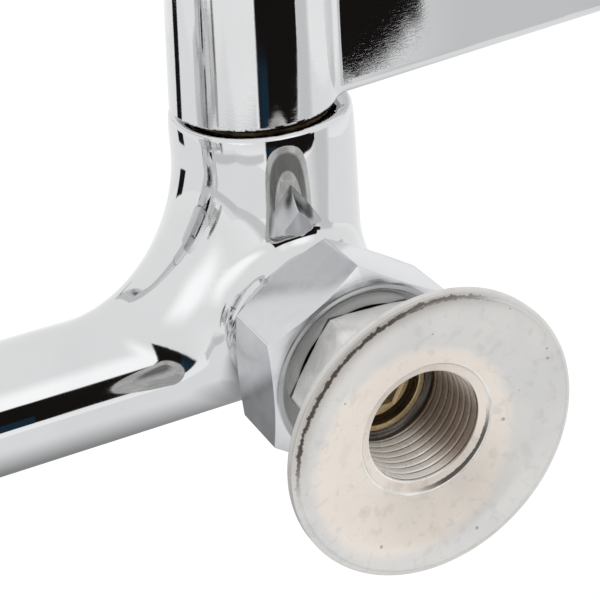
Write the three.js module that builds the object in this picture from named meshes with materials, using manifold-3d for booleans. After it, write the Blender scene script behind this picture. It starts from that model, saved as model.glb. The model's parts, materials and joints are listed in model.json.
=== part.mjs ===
// Commercial wall faucet: two quarter-turn valves on a one-piece chromed body, flanged inlets,
// and a swing spout on the centre hub. Millimetres, +Z up, +Y towards the wall.
// The origin lies in the wall plane, midway between the two inlets and level with them.

import * as THREE from 'three';
import { mergeVertices } from 'three/addons/utils/BufferGeometryUtils.js';
import Module from 'manifold-3d';

const wasm = await Module();
wasm.setup();

// ---------------------------------------------------------------- driving dimensions

// Layout of the body
const INLET_CENTRES = 203.2; // 8 inch spread between the two supplies
const HUB_TO_WALL = 62.5; // valve axis in front of the wall plane
const ARM_RADIUS = 12.1;
const ARM_DROP = 7.9; // the arm's axis lies this far below the inlets
const HUB_TOP_RADIUS = 17.4;
const HUB_ROOT_RADIUS = 17.8; // at the level of the inlets
const HUB_HEIGHT = 39.6; // hub rim above the inlets
const HUB_RIM_ROUND = 1.6;
const ELBOW_FILLET = 31; // hollow of the bend between valve hub and arm
const CENTRE_HUB_RADIUS = 15.5;
const CENTRE_HUB_HEIGHT = 28;
const CENTRE_FILLET = 12;

// Rear shank that takes the coupling nut, measured from the valve axis towards the wall
const BOSS_RADIUS = 16.9;
const BOSS_REACH = 18.7;
const BOSS_EDGE = 0.8;
const NECK_RADIUS = 16.5;
const NECK_LENGTH = 2.6;
const SHANK_RADIUS = 16.1;
const SHANK_LENGTH = 8.7;
const INLET_BORE_RADIUS = 6.4;

// Coupling nut, sealing washer and union tailpiece
const NUT_ACROSS_FLATS = 36.6;
const NUT_LIP = 2.6;
const NUT_LIP_HOLE_RADIUS = 13.5;
const NUT_CHAMFER = 1.9; // height of the turned chamfer on the corners
const NUT_FRONT_INSET = 0.2; // the front chamfer starts this far inside the flats
const NUT_REAR_INSET = 0.5; // and the rear one this far
const NUT_CORNER_ANGLE = 29; // degrees from level to the nearest corner
const WASHER_THICKNESS = 2;
const WASHER_HOLE_RADIUS = 8.6;
const COLLAR_THICKNESS = 2.4;
const TAILPIECE_NECK_RADIUS = 13.1;
const TAILPIECE_SPIGOT_RADIUS = 9.2;
const TAILPIECE_SPIGOT_LENGTH = 3.4;
const TAILPIECE_STEP_RADIUS = 7.6;
const TAILPIECE_STEP_DEPTH = 1.2;
const HEX_KEY_ACROSS_FLATS = 11;

// Flanged inlet: wall plate, wrench hexagon and 1/2 inch taper pipe thread
const FLANGE_RADIUS = 27;
const FLANGE_RIM = 2.4;
const FLANGE_REST_WIDTH = 5; // flat ring that bears on the wall
const FLANGE_DISH = 3.2; // the rear face is hollowed by this much
const FLANGE_HUB_DEPTH = 7.6; // wall plane to the root of the hexagon
const FLANGE_HEX_ACROSS_FLATS = 27;
const FLANGE_HEX_ANGLE = 57;
const MOUTH_RADIUS = 10.6;
const MOUTH_CHAMFER = 1.2;
const MOUTH_CHAMFER_WIDTH = 1.9;
const FLANGE_HUB_FILLET = 1.4;
const FLANGE_EDGE = 0.7; // rounding of the rim
const FLANGE_STANDOFF = 2; // from the nut's rear face to the hexagon
const PIPE_TAPER = 1 / 32; // radius lost per unit of depth

// Valve cartridge, heights from the level of the inlets
const CHAMBER_RADIUS = 11;
const CHAMBER_FLOOR = -7.4;
const BONNET_BORE_RADIUS = 13.6;
const BONNET_SEAT = 30;
const WELL_RADIUS = 4.2; // passage under the seat
const WELL_DEPTH = 5.9;
const PASSAGE_INSET = 7; // the arm's bore stops this far outside each chamber
const SEAT_PORT_RADIUS = 4.8;
const SEAL_THICKNESS = 2;
const SEAL_HOLE_RADIUS = 5.3;
const SEAL_RADIUS = 9;
const DISC_RADIUS = 6.9;
const DISC_THICKNESS = 3;
const DISC_PORT_INNER = 1.6;
const DISC_PORT_EDGE = 1.7; // ceramic left outside each port
const DISC_PORT_ANGLE = 76; // degrees
const DOG_HEIGHT = 3;
const DOG_THICKNESS = 4.4;
const DOG_SIDE_PLAY = 0.8;
const WINDOW_HEIGHT = 4.6;
const WINDOW_WIDTH = 9;
const WINDOW_SILL = 0.6; // housing wall between the windows and the stem's collar
const STEM_COLLAR_THICKNESS = 2.4;
const STEM_RADIUS = 4;
const HOUSING_FLANGE_THICKNESS = 2.4;
const HOUSING_NECK_RADIUS = 7.8;
const HOUSING_TOP = 43.6;
const BONNET_NUT_ACROSS_FLATS = 22;
const BONNET_NUT_TOP = 44.6;
const STEM_SEAL_HEIGHT = 24;
const STEM_SEAL_SECTION = 0.55;
const STEM_GROOVE_RADIUS = 2.9;
const CLIP_THICKNESS = 0.8;
const CLIP_OUTER_RADIUS = 6;
const CLIP_MOUTH_HALF_ANGLE = 35;
const SPLINE_TEETH = 10;
const SPLINE_DEPTH = 0.35;
const SPLINE_START = 48.5;
const STEM_TOP = 59;

// Lever handle
const SKIRT_RADIUS = 15.9;
const SKIRT_TOP_RADIUS = 16.2;
const SKIRT_GAP = 1.2; // between the hub's rim and the handle
const HANDLE_HEIGHT = 34;
const HANDLE_EDGE = 3;
const SKIRT_WALL = 2.4;
const SKIRT_EDGE = 0.5;
const SOCKET_WALL = 3.1; // round the stem's spline
const CAVITY_ROOF = 2; // the skirt's hollow stops this far below the stem's top
const HANDLE_WEB = 3.6;
const SCREW_POCKET_RADIUS = 4.7;
const BUTTON_RADIUS = 8;
const BUTTON_DEPTH = 4.4;
const BUTTON_CROWN = 0.8;
const LEVER_LENGTH = 100; // valve axis to the tip
const LEVER_ROOT_HEIGHT = 27;
const LEVER_TIP_HEIGHT = 10;
const LEVER_RISE = 2.4; // degrees, lower edge
const LEVER_LEVEL = 12; // the lower edge starts to rise this far from the valve axis
const LEVER_THICKNESS = 19.5;
const LEVER_TIP_SHARE = 0.72; // tip thickness as a share of the root's
const LEVER_ROUND = 2.4;
const LEVER_BOW_SHARE = 0.45; // the upper edge falls away up to this share of the length
const LEVER_BOW = 1; // and meets the tip this far above it
const SCREW_HEAD_RADIUS = 4.2;
const SCREW_HEAD_HEIGHT = 3;
const SCREW_SHANK_RADIUS = 1.6;
const SCREW_LENGTH = 12;
const SCREW_HEAD_EDGE = 0.6;
const SCREW_SLOT = 1; // width and depth of the cross recess
const SCREW_SLOT_INSET = 1.5; // metal left outside each end of the recess

// Swing spout
const CENTRE_BORE_RADIUS = 11.2;
const ARM_BORE_RADIUS = 7;
const SPOUT_NUT_ACROSS_FLATS = 37;
const SPOUT_NUT_SKIRT = 11.5; // length below the hub's rim
const SPOUT_NUT_LIP = 2.6;
const CENTRE_THREAD_RADIUS = 13.9;
const THRUST_WASHER_THICKNESS = 1.2;
const SPUD_LENGTH = 26; // below the hub's rim
const SPUD_BORE_RADIUS = 7.4;
const SPUD_FLANGE_THICKNESS = 2;
const SPUD_NECK_RADIUS = 11.6;
const SPUD_NECK_LENGTH = 15;
const SPUD_SOCKET_DEPTH = 11;
const O_RING_SECTION = 0.75;
const O_RING_HEIGHTS = [6, 14]; // above the spud's lower end
const O_RING_PLAY = 0.2; // each side of the ring in its groove
const TUBE_RADIUS = 9.5;
const TUBE_WALL = 1.4;
const SPOUT_REACH = 304.8; // 12 inches, swivel axis to outlet
const SPOUT_RISE = 106; // inlets to the top bend's end
const SPOUT_PITCH = 7; // degrees above level
const TOP_BEND_RADIUS = 38;
const END_BEND_RADIUS = 30;
const OUTLET_DROP = 10; // straight length above the aerator
const AERATOR_RADIUS = 11.8;
const AERATOR_LENGTH = 14;
const AERATOR_WALL = 1.5;
const AERATOR_LAP = 5; // aerator shell over the tube's end
const AERATOR_EDGE = 1;
const AERATOR_LIP = 2; // the shell's lower lip reaches this far in from the tube's wall
const SCREEN_THICKNESS = 2.4;
const SCREEN_HOLES = 8;
const SCREEN_HOLE_RADIUS = 1.1;
const GASKET_THICKNESS = 1.6;
const GASKET_WIDTH = 2.8;
const SCREEN_NOSE_INSET = 1; // side gap of the screen's nose in the shell's lip
const SCREEN_CIRCLE_RADIUS = 4.5; // of the outer holes

// Clearances
const GAP = 0.3; // between separate pieces that touch on the real faucet
const FINE = 24; // facets of large rounds
const SMALL = 12; // facets of small rounds
const RIM = 36; // facets of the wall flange
const TUBE_FACETS = 16;
const ROUND_SHARE = 0.3; // a rounded edge has two facets, each cut back by this share of it

// ---------------------------------------------------------------- helpers

const rad = THREE.MathUtils.degToRad;
const hexCorner = (acrossFlats) => acrossFlats / Math.sqrt(3);

// A closed solid from any three.js geometry: shared vertices, no slivers, faces outwards.
function solid(geometry) {
  const bare = geometry.clone();
  for (const name of ['normal', 'uv']) bare.deleteAttribute(name);
  const merged = mergeVertices(bare, 1e-4);
  const p = merged.attributes.position;
  const index = merged.index.array;
  const faces = [];
  let volume = 0;
  for (let i = 0; i < index.length; i += 3) {
    const [a, b, c] = [index[i], index[i + 1], index[i + 2]];
    if (a === b || b === c || c === a) continue;
    faces.push(a, b, c);
    const [va, vb, vc] = [a, b, c].map((k) => new THREE.Vector3().fromBufferAttribute(p, k));
    volume += va.dot(vb.cross(vc));
  }
  if (volume < 0) {
    for (let i = 0; i < faces.length; i += 3) {
      [faces[i], faces[i + 1]] = [faces[i + 1], faces[i]];
    }
  }
  const mesh = new wasm.Mesh({
    numProp: 3,
    vertProperties: Float32Array.from(p.array),
    triVerts: Uint32Array.from(faces),
  });
  return new wasm.Manifold(mesh);
}

function toGeometry(body) {
  const mesh = body.getMesh();
  const geometry = new THREE.BufferGeometry();
  geometry.setAttribute('position', new THREE.BufferAttribute(mesh.vertProperties, 3));
  geometry.setIndex(new THREE.BufferAttribute(mesh.triVerts, 1));
  geometry.computeVertexNormals();
  return geometry;
}

const join = (first, ...others) => others.reduce((sum, other) => sum.add(other), first);
const cut = (first, ...others) => others.reduce((sum, other) => sum.subtract(other), first);

// Turned piece about +Z (or about +Y for the inlets): profile points are [radius, height].
function turned(profile, facets = FINE, axis = 'z') {
  const points = profile.map(([r, h]) => new THREE.Vector2(r, h));
  const geometry = new THREE.LatheGeometry(points, facets);
  if (axis === 'z') geometry.rotateX(Math.PI / 2);
  return solid(geometry);
}

const rod = (radius, low, high, facets = FINE, axis = 'z') =>
  turned([[0, low], [radius, low], [radius, high], [0, high]], facets, axis);

const ring = (inner, outer, low, high, facets = FINE, axis = 'z') =>
  turned([[inner, low], [outer, low], [outer, high], [inner, high], [inner, low]], facets, axis);

function oRing(middle, section, height, facets) {
  const geometry = new THREE.TorusGeometry(middle, section, 6, facets);
  geometry.translate(0, 0, height);
  return solid(geometry);
}

// Hexagonal prism about +Z or +Y, with its first corner at the given angle from +X.
function hexPrism(acrossFlats, low, high, cornerAngle = 0, axis = 'z') {
  const corner = hexCorner(acrossFlats);
  const shape = new THREE.Shape();
  for (let i = 0; i < 6; i++) {
    const angle = rad(cornerAngle + 60 * i);
    const [u, v] = [corner * Math.cos(angle), corner * Math.sin(angle)];
    if (i === 0) shape.moveTo(u, v);
    else shape.lineTo(u, v);
  }
  shape.closePath();
  const geometry = new THREE.ExtrudeGeometry(shape, { depth: high - low, bevelEnabled: false });
  geometry.translate(0, 0, low);
  if (axis === 'y') {
    geometry.scale(1, 1, -1);
    geometry.rotateX(Math.PI / 2);
  }
  return solid(geometry);
}

function block(x, y, z, cx = 0, cy = 0, cz = 0) {
  const geometry = new THREE.BoxGeometry(x, y, z);
  geometry.translate(cx, cy, cz);
  return solid(geometry);
}

// Skin through a row of closed outlines that all have the same number of points.
function loft(outlines) {
  const count = outlines[0].length;
  const points = outlines.flat();
  const index = [];
  for (let i = 0; i + 1 < outlines.length; i++) {
    for (let j = 0; j < count; j++) {
      const [a, b] = [i * count + j, i * count + ((j + 1) % count)];
      index.push(a, b, b + count, a, b + count, a + count);
    }
  }
  const last = (outlines.length - 1) * count;
  for (let j = 1; j + 1 < count; j++) {
    index.push(0, j + 1, j, last, last + j, last + j + 1);
  }
  const geometry = new THREE.BufferGeometry().setFromPoints(points);
  geometry.setIndex(index);
  return solid(geometry);
}

const finishes = {
  chrome: { color: 0xd9dcde, roughness: 0.06, metalness: 1 },
  satin: { color: 0xb4b7b8, roughness: 0.35, metalness: 1 },
  nickel: { color: 0xcbc6bd, roughness: 0.38, metalness: 1 },
  brass: { color: 0xc79a4e, roughness: 0.3, metalness: 1 },
  ceramic: { color: 0xf1efe8, roughness: 0.25, metalness: 0 },
  rubber: { color: 0x1c1c1c, roughness: 0.8, metalness: 0 },
  fibre: { color: 0x8a3a2c, roughness: 0.85, metalness: 0 },
  steel: { color: 0xc0c3c5, roughness: 0.25, metalness: 1 },
  plastic: { color: 0xe6e6e2, roughness: 0.45, metalness: 0 },
  cold: { color: 0x2456a8, roughness: 0.35, metalness: 0 },
  hot: { color: 0xb3202a, roughness: 0.35, metalness: 0 },
};

function piece(name, body, finish) {
  const mesh = new THREE.Mesh(toGeometry(body), new THREE.MeshStandardMaterial(finishes[finish]));
  mesh.name = name;
  return mesh;
}

// ---------------------------------------------------------------- sizes that follow

const hubX = INLET_CENTRES / 2;
const armZ = -ARM_DROP;
const floorZ = armZ - ARM_RADIUS;

// Stations along the inlet axis, from the valve axis towards the wall
const neckEnd = BOSS_REACH + NECK_LENGTH;
const shankEnd = neckEnd + SHANK_LENGTH;
const nutFront = neckEnd + GAP;
const washerFront = shankEnd + GAP;
const washerRear = washerFront + WASHER_THICKNESS;
const collarFront = washerRear + GAP;
const collarRear = collarFront + COLLAR_THICKNESS;
const lipFront = collarRear + GAP;
const nutRear = lipFront + NUT_LIP;
const nutThreadRadius = SHANK_RADIUS + GAP;
const collarRadius = SHANK_RADIUS - GAP;
const mouthDepth = FLANGE_DISH + MOUTH_CHAMFER;
const flangeHexFront = nutRear + FLANGE_STANDOFF;
const neckShoulder = flangeHexFront - GAP;
const spigotEnd = neckShoulder + TAILPIECE_SPIGOT_LENGTH;
const pipeThreadEnd = spigotEnd + GAP;

// Stations up the valve axis
const sealLow = CHAMBER_FLOOR + GAP;
const sealHigh = sealLow + SEAL_THICKNESS;
const fixedLow = sealHigh + GAP;
const movingLow = fixedLow + DISC_THICKNESS + GAP;
const dogLow = movingLow + DISC_THICKNESS + GAP;
const dogHigh = dogLow + DOG_HEIGHT;
const windowLow = dogLow;
const collarLow = windowLow + WINDOW_HEIGHT + WINDOW_SILL;
const collarHigh = collarLow + STEM_COLLAR_THICKNESS;
const housingLedge = collarHigh + GAP;
const housingRadius = CHAMBER_RADIUS - GAP;
const housingFlangeLow = BONNET_SEAT + GAP;
const housingFlangeHigh = housingFlangeLow + HOUSING_FLANGE_THICKNESS;
const discBore = DISC_RADIUS + GAP;
const stemBore = STEM_RADIUS + GAP;
const clipLow = HOUSING_TOP + GAP;
const clipHigh = clipLow + CLIP_THICKNESS;

// Handle
const skirtLow = HUB_HEIGHT + SKIRT_GAP;
const handleTop = skirtLow + HANDLE_HEIGHT;
const buttonFloor = handleTop - BUTTON_DEPTH;
const socketTop = STEM_TOP + GAP;
const pocketFloor = socketTop + HANDLE_WEB;
const screwHeadLow = pocketFloor + GAP;
const screwTip = screwHeadLow - SCREW_LENGTH;
const handleBossLow = SPLINE_START - 1;
const screwHole = SCREW_SHANK_RADIUS + GAP;

// Spout
const washerLow = CENTRE_HUB_HEIGHT + GAP;
const spudFlangeLow = washerLow + THRUST_WASHER_THICKNESS + GAP;
const spudFlangeHigh = spudFlangeLow + SPUD_FLANGE_THICKNESS;
const spoutNutLip = spudFlangeHigh + GAP;
const spoutNutHigh = spoutNutLip + SPOUT_NUT_LIP;
const spoutNutLow = CENTRE_HUB_HEIGHT - SPOUT_NUT_SKIRT;
const spudLow = CENTRE_HUB_HEIGHT - SPUD_LENGTH;
const spudHigh = spudFlangeHigh + SPUD_NECK_LENGTH;
const tubeLow = spudHigh - SPUD_SOCKET_DEPTH + GAP;
const spudRadius = CENTRE_BORE_RADIUS - GAP;
const spudGroove = CENTRE_BORE_RADIUS - 2 * (O_RING_SECTION + O_RING_PLAY);
const tubeBore = TUBE_RADIUS - TUBE_WALL;

// ---------------------------------------------------------------- body casting

// Bend from the arm (upright outline) up to a hub (level outline), hollow side of radius fillet.
// toHub is -1 where the hub stands on the -X side of the bend, +1 on the +X side.
function elbow(hubCentreX, toHub, hubRadius, fillet) {
  const armTop = armZ + ARM_RADIUS;
  const centre = new THREE.Vector3(hubCentreX - toHub * (hubRadius + fillet), 0, armTop + fillet);
  const steps = 6;
  const outlines = [];
  for (let i = 0; i <= steps; i++) {
    const share = i / steps;
    const turn = share * (Math.PI / 2);
    const outward = new THREE.Vector3(toHub * Math.sin(turn), 0, -Math.cos(turn));
    const half = THREE.MathUtils.lerp(ARM_RADIUS, hubRadius, share * share * (3 - 2 * share));
    const outline = [];
    for (let j = 0; j < FINE; j++) {
      const angle = (j / FINE) * 2 * Math.PI;
      const point = centre.clone().addScaledVector(outward, fillet + half * (1 - Math.cos(angle)));
      point.y += half * Math.sin(angle);
      outline.push(point);
    }
    outlines.push(outline);
  }
  return loft(outlines);
}

// Upright valve hub with a rounded floor and rim.
function valveHub() {
  const profile = [];
  const floorSteps = 6;
  for (let i = 0; i <= floorSteps; i++) {
    const turn = (i / floorSteps) * (Math.PI / 2);
    profile.push([HUB_ROOT_RADIUS * Math.sin(turn), floorZ * Math.cos(turn)]);
  }
  profile.push([HUB_TOP_RADIUS, HUB_HEIGHT - HUB_RIM_ROUND]);
  profile.push([HUB_TOP_RADIUS - HUB_RIM_ROUND * ROUND_SHARE, HUB_HEIGHT - HUB_RIM_ROUND * ROUND_SHARE]);
  profile.push([HUB_TOP_RADIUS - HUB_RIM_ROUND, HUB_HEIGHT], [0, HUB_HEIGHT]);
  return turned(profile);
}

// Rear boss and threaded shank, turned about the inlet axis.
function inletShank() {
  return turned([
    [0, 0],
    [BOSS_RADIUS, 0],
    [BOSS_RADIUS, BOSS_REACH - BOSS_EDGE],
    [BOSS_RADIUS - BOSS_EDGE * ROUND_SHARE, BOSS_REACH - BOSS_EDGE * ROUND_SHARE],
    [NECK_RADIUS, BOSS_REACH],
    [NECK_RADIUS, neckEnd],
    [SHANK_RADIUS, neckEnd],
    [SHANK_RADIUS, shankEnd],
    [0, shankEnd],
  ], FINE, 'y');
}

function faucetBody() {
  const arm = new THREE.CylinderGeometry(ARM_RADIUS, ARM_RADIUS, INLET_CENTRES, FINE);
  arm.rotateZ(Math.PI / 2);
  arm.translate(0, 0, armZ);
  const passage = new THREE.CylinderGeometry(
    ARM_BORE_RADIUS, ARM_BORE_RADIUS, INLET_CENTRES - 2 * (CHAMBER_RADIUS + PASSAGE_INSET), SMALL);
  passage.rotateZ(Math.PI / 2);
  passage.translate(0, 0, armZ);

  const threadLow = spoutNutLow - GAP;
  const centreHub = turned([
    [0, armZ],
    [CENTRE_HUB_RADIUS, armZ],
    [CENTRE_HUB_RADIUS, threadLow],
    [CENTRE_THREAD_RADIUS, threadLow],
    [CENTRE_THREAD_RADIUS, CENTRE_HUB_HEIGHT],
    [0, CENTRE_HUB_HEIGHT],
  ]);
  let shape = join(solid(arm), centreHub);
  const cuts = [solid(passage), rod(CENTRE_BORE_RADIUS, armZ, CENTRE_HUB_HEIGHT + 1, FINE)];

  const seat = CHAMBER_FLOOR;
  const wellLength = CHAMBER_RADIUS + PASSAGE_INSET + 1;
  const wellZ = seat - WELL_DEPTH;
  for (const side of [-1, 1]) {
    const x = side * hubX;
    const valveElbow = elbow(x, side, (HUB_TOP_RADIUS + HUB_ROOT_RADIUS) / 2, ELBOW_FILLET);
    const centreElbow = elbow(0, -side, CENTRE_HUB_RADIUS, CENTRE_FILLET);
    shape = join(shape, valveHub().translate(x, 0, 0), inletShank().translate(x, 0, 0));
    shape = join(shape, valveElbow, centreElbow);
    const well = new THREE.CylinderGeometry(WELL_RADIUS, WELL_RADIUS, wellLength, SMALL);
    well.rotateZ(Math.PI / 2);
    well.translate(x - side * wellLength / 2, 0, wellZ);
    cuts.push(
      rod(CHAMBER_RADIUS, seat, HUB_HEIGHT + 1).translate(x, 0, 0),
      rod(BONNET_BORE_RADIUS, BONNET_SEAT, HUB_HEIGHT + 1).translate(x, 0, 0),
      rod(SEAT_PORT_RADIUS, wellZ, seat + 1, SMALL).translate(x, 0, 0),
      rod(INLET_BORE_RADIUS, 0, shankEnd + 1, SMALL, 'y').translate(x, 0, 0),
      solid(well),
    );
  }
  return cut(shape, ...cuts);
}

// ---------------------------------------------------------------- inlet union

function couplingNut() {
  const corner = hexCorner(NUT_ACROSS_FLATS);
  const flat = NUT_ACROSS_FLATS / 2;
  const hexagon = hexPrism(NUT_ACROSS_FLATS, nutFront, nutRear, NUT_CORNER_ANGLE, 'y');
  const chamfered = turned([
    [0, nutFront],
    [flat - NUT_FRONT_INSET, nutFront],
    [corner + GAP, nutFront + NUT_CHAMFER],
    [corner + GAP, nutRear - NUT_CHAMFER],
    [flat - NUT_REAR_INSET, nutRear],
    [0, nutRear],
  ], FINE, 'y');
  const hole = rod(NUT_LIP_HOLE_RADIUS, nutFront - 1, nutRear + 1, FINE, 'y');
  const thread = rod(nutThreadRadius, nutFront - 1, lipFront, FINE, 'y');
  return cut(hexagon.intersect(chamfered), hole, thread);
}

const inletWasher = () =>
  ring(WASHER_HOLE_RADIUS, collarRadius, washerFront, washerRear, FINE, 'y');

function unionTailpiece() {
  const outer = turned([
    [0, collarFront],
    [collarRadius, collarFront],
    [collarRadius, collarRear],
    [TAILPIECE_NECK_RADIUS, collarRear],
    [TAILPIECE_NECK_RADIUS, neckShoulder],
    [TAILPIECE_SPIGOT_RADIUS, neckShoulder],
    [TAILPIECE_SPIGOT_RADIUS, spigotEnd],
    [0, spigotEnd],
  ], FINE, 'y');
  const broach = hexPrism(HEX_KEY_ACROSS_FLATS, collarFront - 1, spigotEnd + 1, 0, 'y');
  const stepLow = spigotEnd - TAILPIECE_STEP_DEPTH;
  const step = rod(TAILPIECE_STEP_RADIUS, stepLow, spigotEnd + 1, FINE, 'y');
  return cut(outer, broach, step);
}

function inletFlange() {
  const wall = HUB_TO_WALL;
  const hexagonRadius = FLANGE_HEX_ACROSS_FLATS / 2;
  const plate = turned([
    [0, wall - FLANGE_HUB_DEPTH],
    [hexagonRadius + FLANGE_HUB_FILLET, wall - FLANGE_HUB_DEPTH],
    [FLANGE_RADIUS - FLANGE_EDGE, wall - FLANGE_RIM],
    [FLANGE_RADIUS, wall - FLANGE_RIM + FLANGE_EDGE],
    [FLANGE_RADIUS, wall - FLANGE_EDGE],
    [FLANGE_RADIUS - FLANGE_EDGE, wall],
    [FLANGE_RADIUS - FLANGE_REST_WIDTH, wall],
    [MOUTH_RADIUS + MOUTH_CHAMFER_WIDTH, wall - FLANGE_DISH],
    [MOUTH_RADIUS, wall - mouthDepth],
    [0, wall - mouthDepth],
  ], RIM, 'y');
  const hexLength = wall - FLANGE_HUB_DEPTH + 1;
  const hexagon = hexPrism(FLANGE_HEX_ACROSS_FLATS, flangeHexFront, hexLength, FLANGE_HEX_ANGLE, 'y');
  const threadDepth = wall - mouthDepth - pipeThreadEnd;
  const pipe = turned([
    [0, pipeThreadEnd],
    [MOUTH_RADIUS - threadDepth * PIPE_TAPER, pipeThreadEnd],
    [MOUTH_RADIUS, wall - mouthDepth],
    [MOUTH_RADIUS, wall],
    [0, wall],
  ], FINE, 'y');
  const spigotBore = rod(TAILPIECE_SPIGOT_RADIUS + GAP, flangeHexFront - 1, wall - mouthDepth, FINE, 'y');
  return cut(join(plate, hexagon), pipe, spigotBore);
}

// ---------------------------------------------------------------- valve cartridge

function cartridgeHousing() {
  const outer = turned([
    [0, fixedLow],
    [housingRadius, fixedLow],
    [housingRadius, housingFlangeLow],
    [BONNET_BORE_RADIUS - GAP, housingFlangeLow],
    [BONNET_BORE_RADIUS - GAP, housingFlangeHigh],
    [HOUSING_NECK_RADIUS, housingFlangeHigh],
    [HOUSING_NECK_RADIUS, HOUSING_TOP],
    [0, HOUSING_TOP],
  ], SMALL);
  const windowZ = windowLow + WINDOW_HEIGHT / 2;
  const across = 2 * housingRadius + 2;
  return cut(
    outer,
    rod(discBore, fixedLow - 1, housingLedge, SMALL),
    rod(stemBore, fixedLow, HOUSING_TOP + 1, SMALL),
    block(WINDOW_WIDTH, across, WINDOW_HEIGHT, 0, 0, windowZ),
  );
}

// Ceramic disc with two facing ports, each a sector.
function ceramicDisc(low) {
  const disc = rod(DISC_RADIUS, low, low + DISC_THICKNESS, SMALL);
  const ports = [0, Math.PI].map((start) => {
    const opening = rad(DISC_PORT_ANGLE);
    const shape = new THREE.Shape();
    shape.absarc(0, 0, DISC_RADIUS - DISC_PORT_EDGE, start - opening / 2, start + opening / 2, false);
    shape.absarc(0, 0, DISC_PORT_INNER, start + opening / 2, start - opening / 2, true);
    shape.closePath();
    const depth = DISC_THICKNESS + 2;
    const port = new THREE.ExtrudeGeometry(shape, { depth, bevelEnabled: false, curveSegments: 5 });
    port.translate(0, 0, low - 1);
    return solid(port);
  });
  return cut(disc, ...ports);
}

function valveStem() {
  const root = STEM_RADIUS - SPLINE_DEPTH;
  const grooveLow = STEM_SEAL_HEIGHT - STEM_SEAL_SECTION - GAP;
  const grooveHigh = STEM_SEAL_HEIGHT + STEM_SEAL_SECTION + GAP;
  const shaft = turned([
    [0, dogHigh - 1],
    [STEM_RADIUS, dogHigh - 1],
    [STEM_RADIUS, collarLow],
    [DISC_RADIUS, collarLow],
    [DISC_RADIUS, collarHigh],
    [STEM_RADIUS, collarHigh],
    [STEM_RADIUS, grooveLow],
    [STEM_GROOVE_RADIUS - GAP, grooveLow],
    [STEM_GROOVE_RADIUS - GAP, grooveHigh],
    [STEM_RADIUS, grooveHigh],
    [STEM_RADIUS, clipLow - GAP],
    [STEM_GROOVE_RADIUS, clipLow - GAP],
    [STEM_GROOVE_RADIUS, clipHigh + GAP],
    [STEM_RADIUS, clipHigh + GAP],
    [STEM_RADIUS, SPLINE_START],
    [root, SPLINE_START],
    [root, STEM_TOP],
    [0, STEM_TOP],
  ], SMALL);
  const dogWidth = 2 * (DISC_RADIUS - DOG_SIDE_PLAY);
  const dog = block(dogWidth, DOG_THICKNESS, DOG_HEIGHT, 0, 0, (dogLow + dogHigh) / 2);
  const star = new THREE.Shape();
  for (let i = 0; i < 2 * SPLINE_TEETH; i++) {
    const radius = i % 2 ? STEM_RADIUS - SPLINE_DEPTH : STEM_RADIUS;
    const angle = (i / SPLINE_TEETH) * Math.PI;
    const [u, v] = [radius * Math.cos(angle), radius * Math.sin(angle)];
    if (i === 0) star.moveTo(u, v);
    else star.lineTo(u, v);
  }
  star.closePath();
  const depth = STEM_TOP - SPLINE_START - 1;
  const spline = new THREE.ExtrudeGeometry(star, { depth, bevelEnabled: false });
  spline.translate(0, 0, SPLINE_START);
  return cut(join(shaft, dog, solid(spline)), rod(screwHole, screwTip - 1, STEM_TOP + 1, SMALL));
}

function stemClip() {
  const mouth = rad(CLIP_MOUTH_HALF_ANGLE);
  const inner = STEM_GROOVE_RADIUS + GAP;
  const shape = new THREE.Shape();
  shape.absarc(0, 0, CLIP_OUTER_RADIUS, mouth, 2 * Math.PI - mouth, false);
  shape.absarc(0, 0, inner, 2 * Math.PI - mouth, mouth, true);
  shape.closePath();
  const options = { depth: CLIP_THICKNESS, bevelEnabled: false, curveSegments: SMALL / 2 };
  const geometry = new THREE.ExtrudeGeometry(shape, options);
  geometry.translate(0, 0, clipLow);
  return solid(geometry);
}

function bonnetNut() {
  const thread = rod(BONNET_BORE_RADIUS - GAP, housingFlangeHigh + GAP, HUB_HEIGHT + 1, FINE);
  const hexagon = hexPrism(BONNET_NUT_ACROSS_FLATS, HUB_HEIGHT, BONNET_NUT_TOP);
  const hole = rod(HOUSING_NECK_RADIUS + GAP, housingFlangeHigh, BONNET_NUT_TOP + 1, SMALL);
  return cut(join(thread, hexagon), hole);
}

// ---------------------------------------------------------------- lever handle

// Side view of the blade, pointing along -X, with a rounded tip.
function leverBlade() {
  const rise = Math.tan(rad(LEVER_RISE)) * (LEVER_LENGTH - LEVER_LEVEL);
  const tipLow = skirtLow + LEVER_ROUND + rise;
  const tipHigh = tipLow + LEVER_TIP_HEIGHT - 2 * LEVER_ROUND;
  const tipRadius = (tipHigh - tipLow) / 2;
  const low = skirtLow + LEVER_ROUND;
  const high = skirtLow + LEVER_ROOT_HEIGHT - LEVER_ROUND;
  const tipX = LEVER_LENGTH - LEVER_ROUND - tipRadius;
  const shape = new THREE.Shape();
  shape.moveTo(0, low);
  shape.lineTo(LEVER_LEVEL, low);
  shape.lineTo(tipX, tipLow);
  shape.absarc(tipX, tipLow + tipRadius, tipRadius, -Math.PI / 2, Math.PI / 2, false);
  shape.quadraticCurveTo(tipX * LEVER_BOW_SHARE, tipHigh + LEVER_BOW, 0, high);
  shape.closePath();
  const depth = LEVER_THICKNESS - 2 * LEVER_ROUND;
  const geometry = new THREE.ExtrudeGeometry(shape, {
    depth, bevelThickness: LEVER_ROUND, bevelSize: LEVER_ROUND, bevelSegments: 2, curveSegments: 6,
  });
  geometry.translate(0, 0, -depth / 2);
  const p = geometry.attributes.position;
  for (let i = 0; i < p.count; i++) {
    const along = THREE.MathUtils.clamp(p.getX(i) / LEVER_LENGTH, 0, 1);
    p.setZ(i, p.getZ(i) * THREE.MathUtils.lerp(1, LEVER_TIP_SHARE, along));
  }
  geometry.rotateX(Math.PI / 2);
  geometry.rotateZ(Math.PI);
  return solid(geometry);
}

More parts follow.
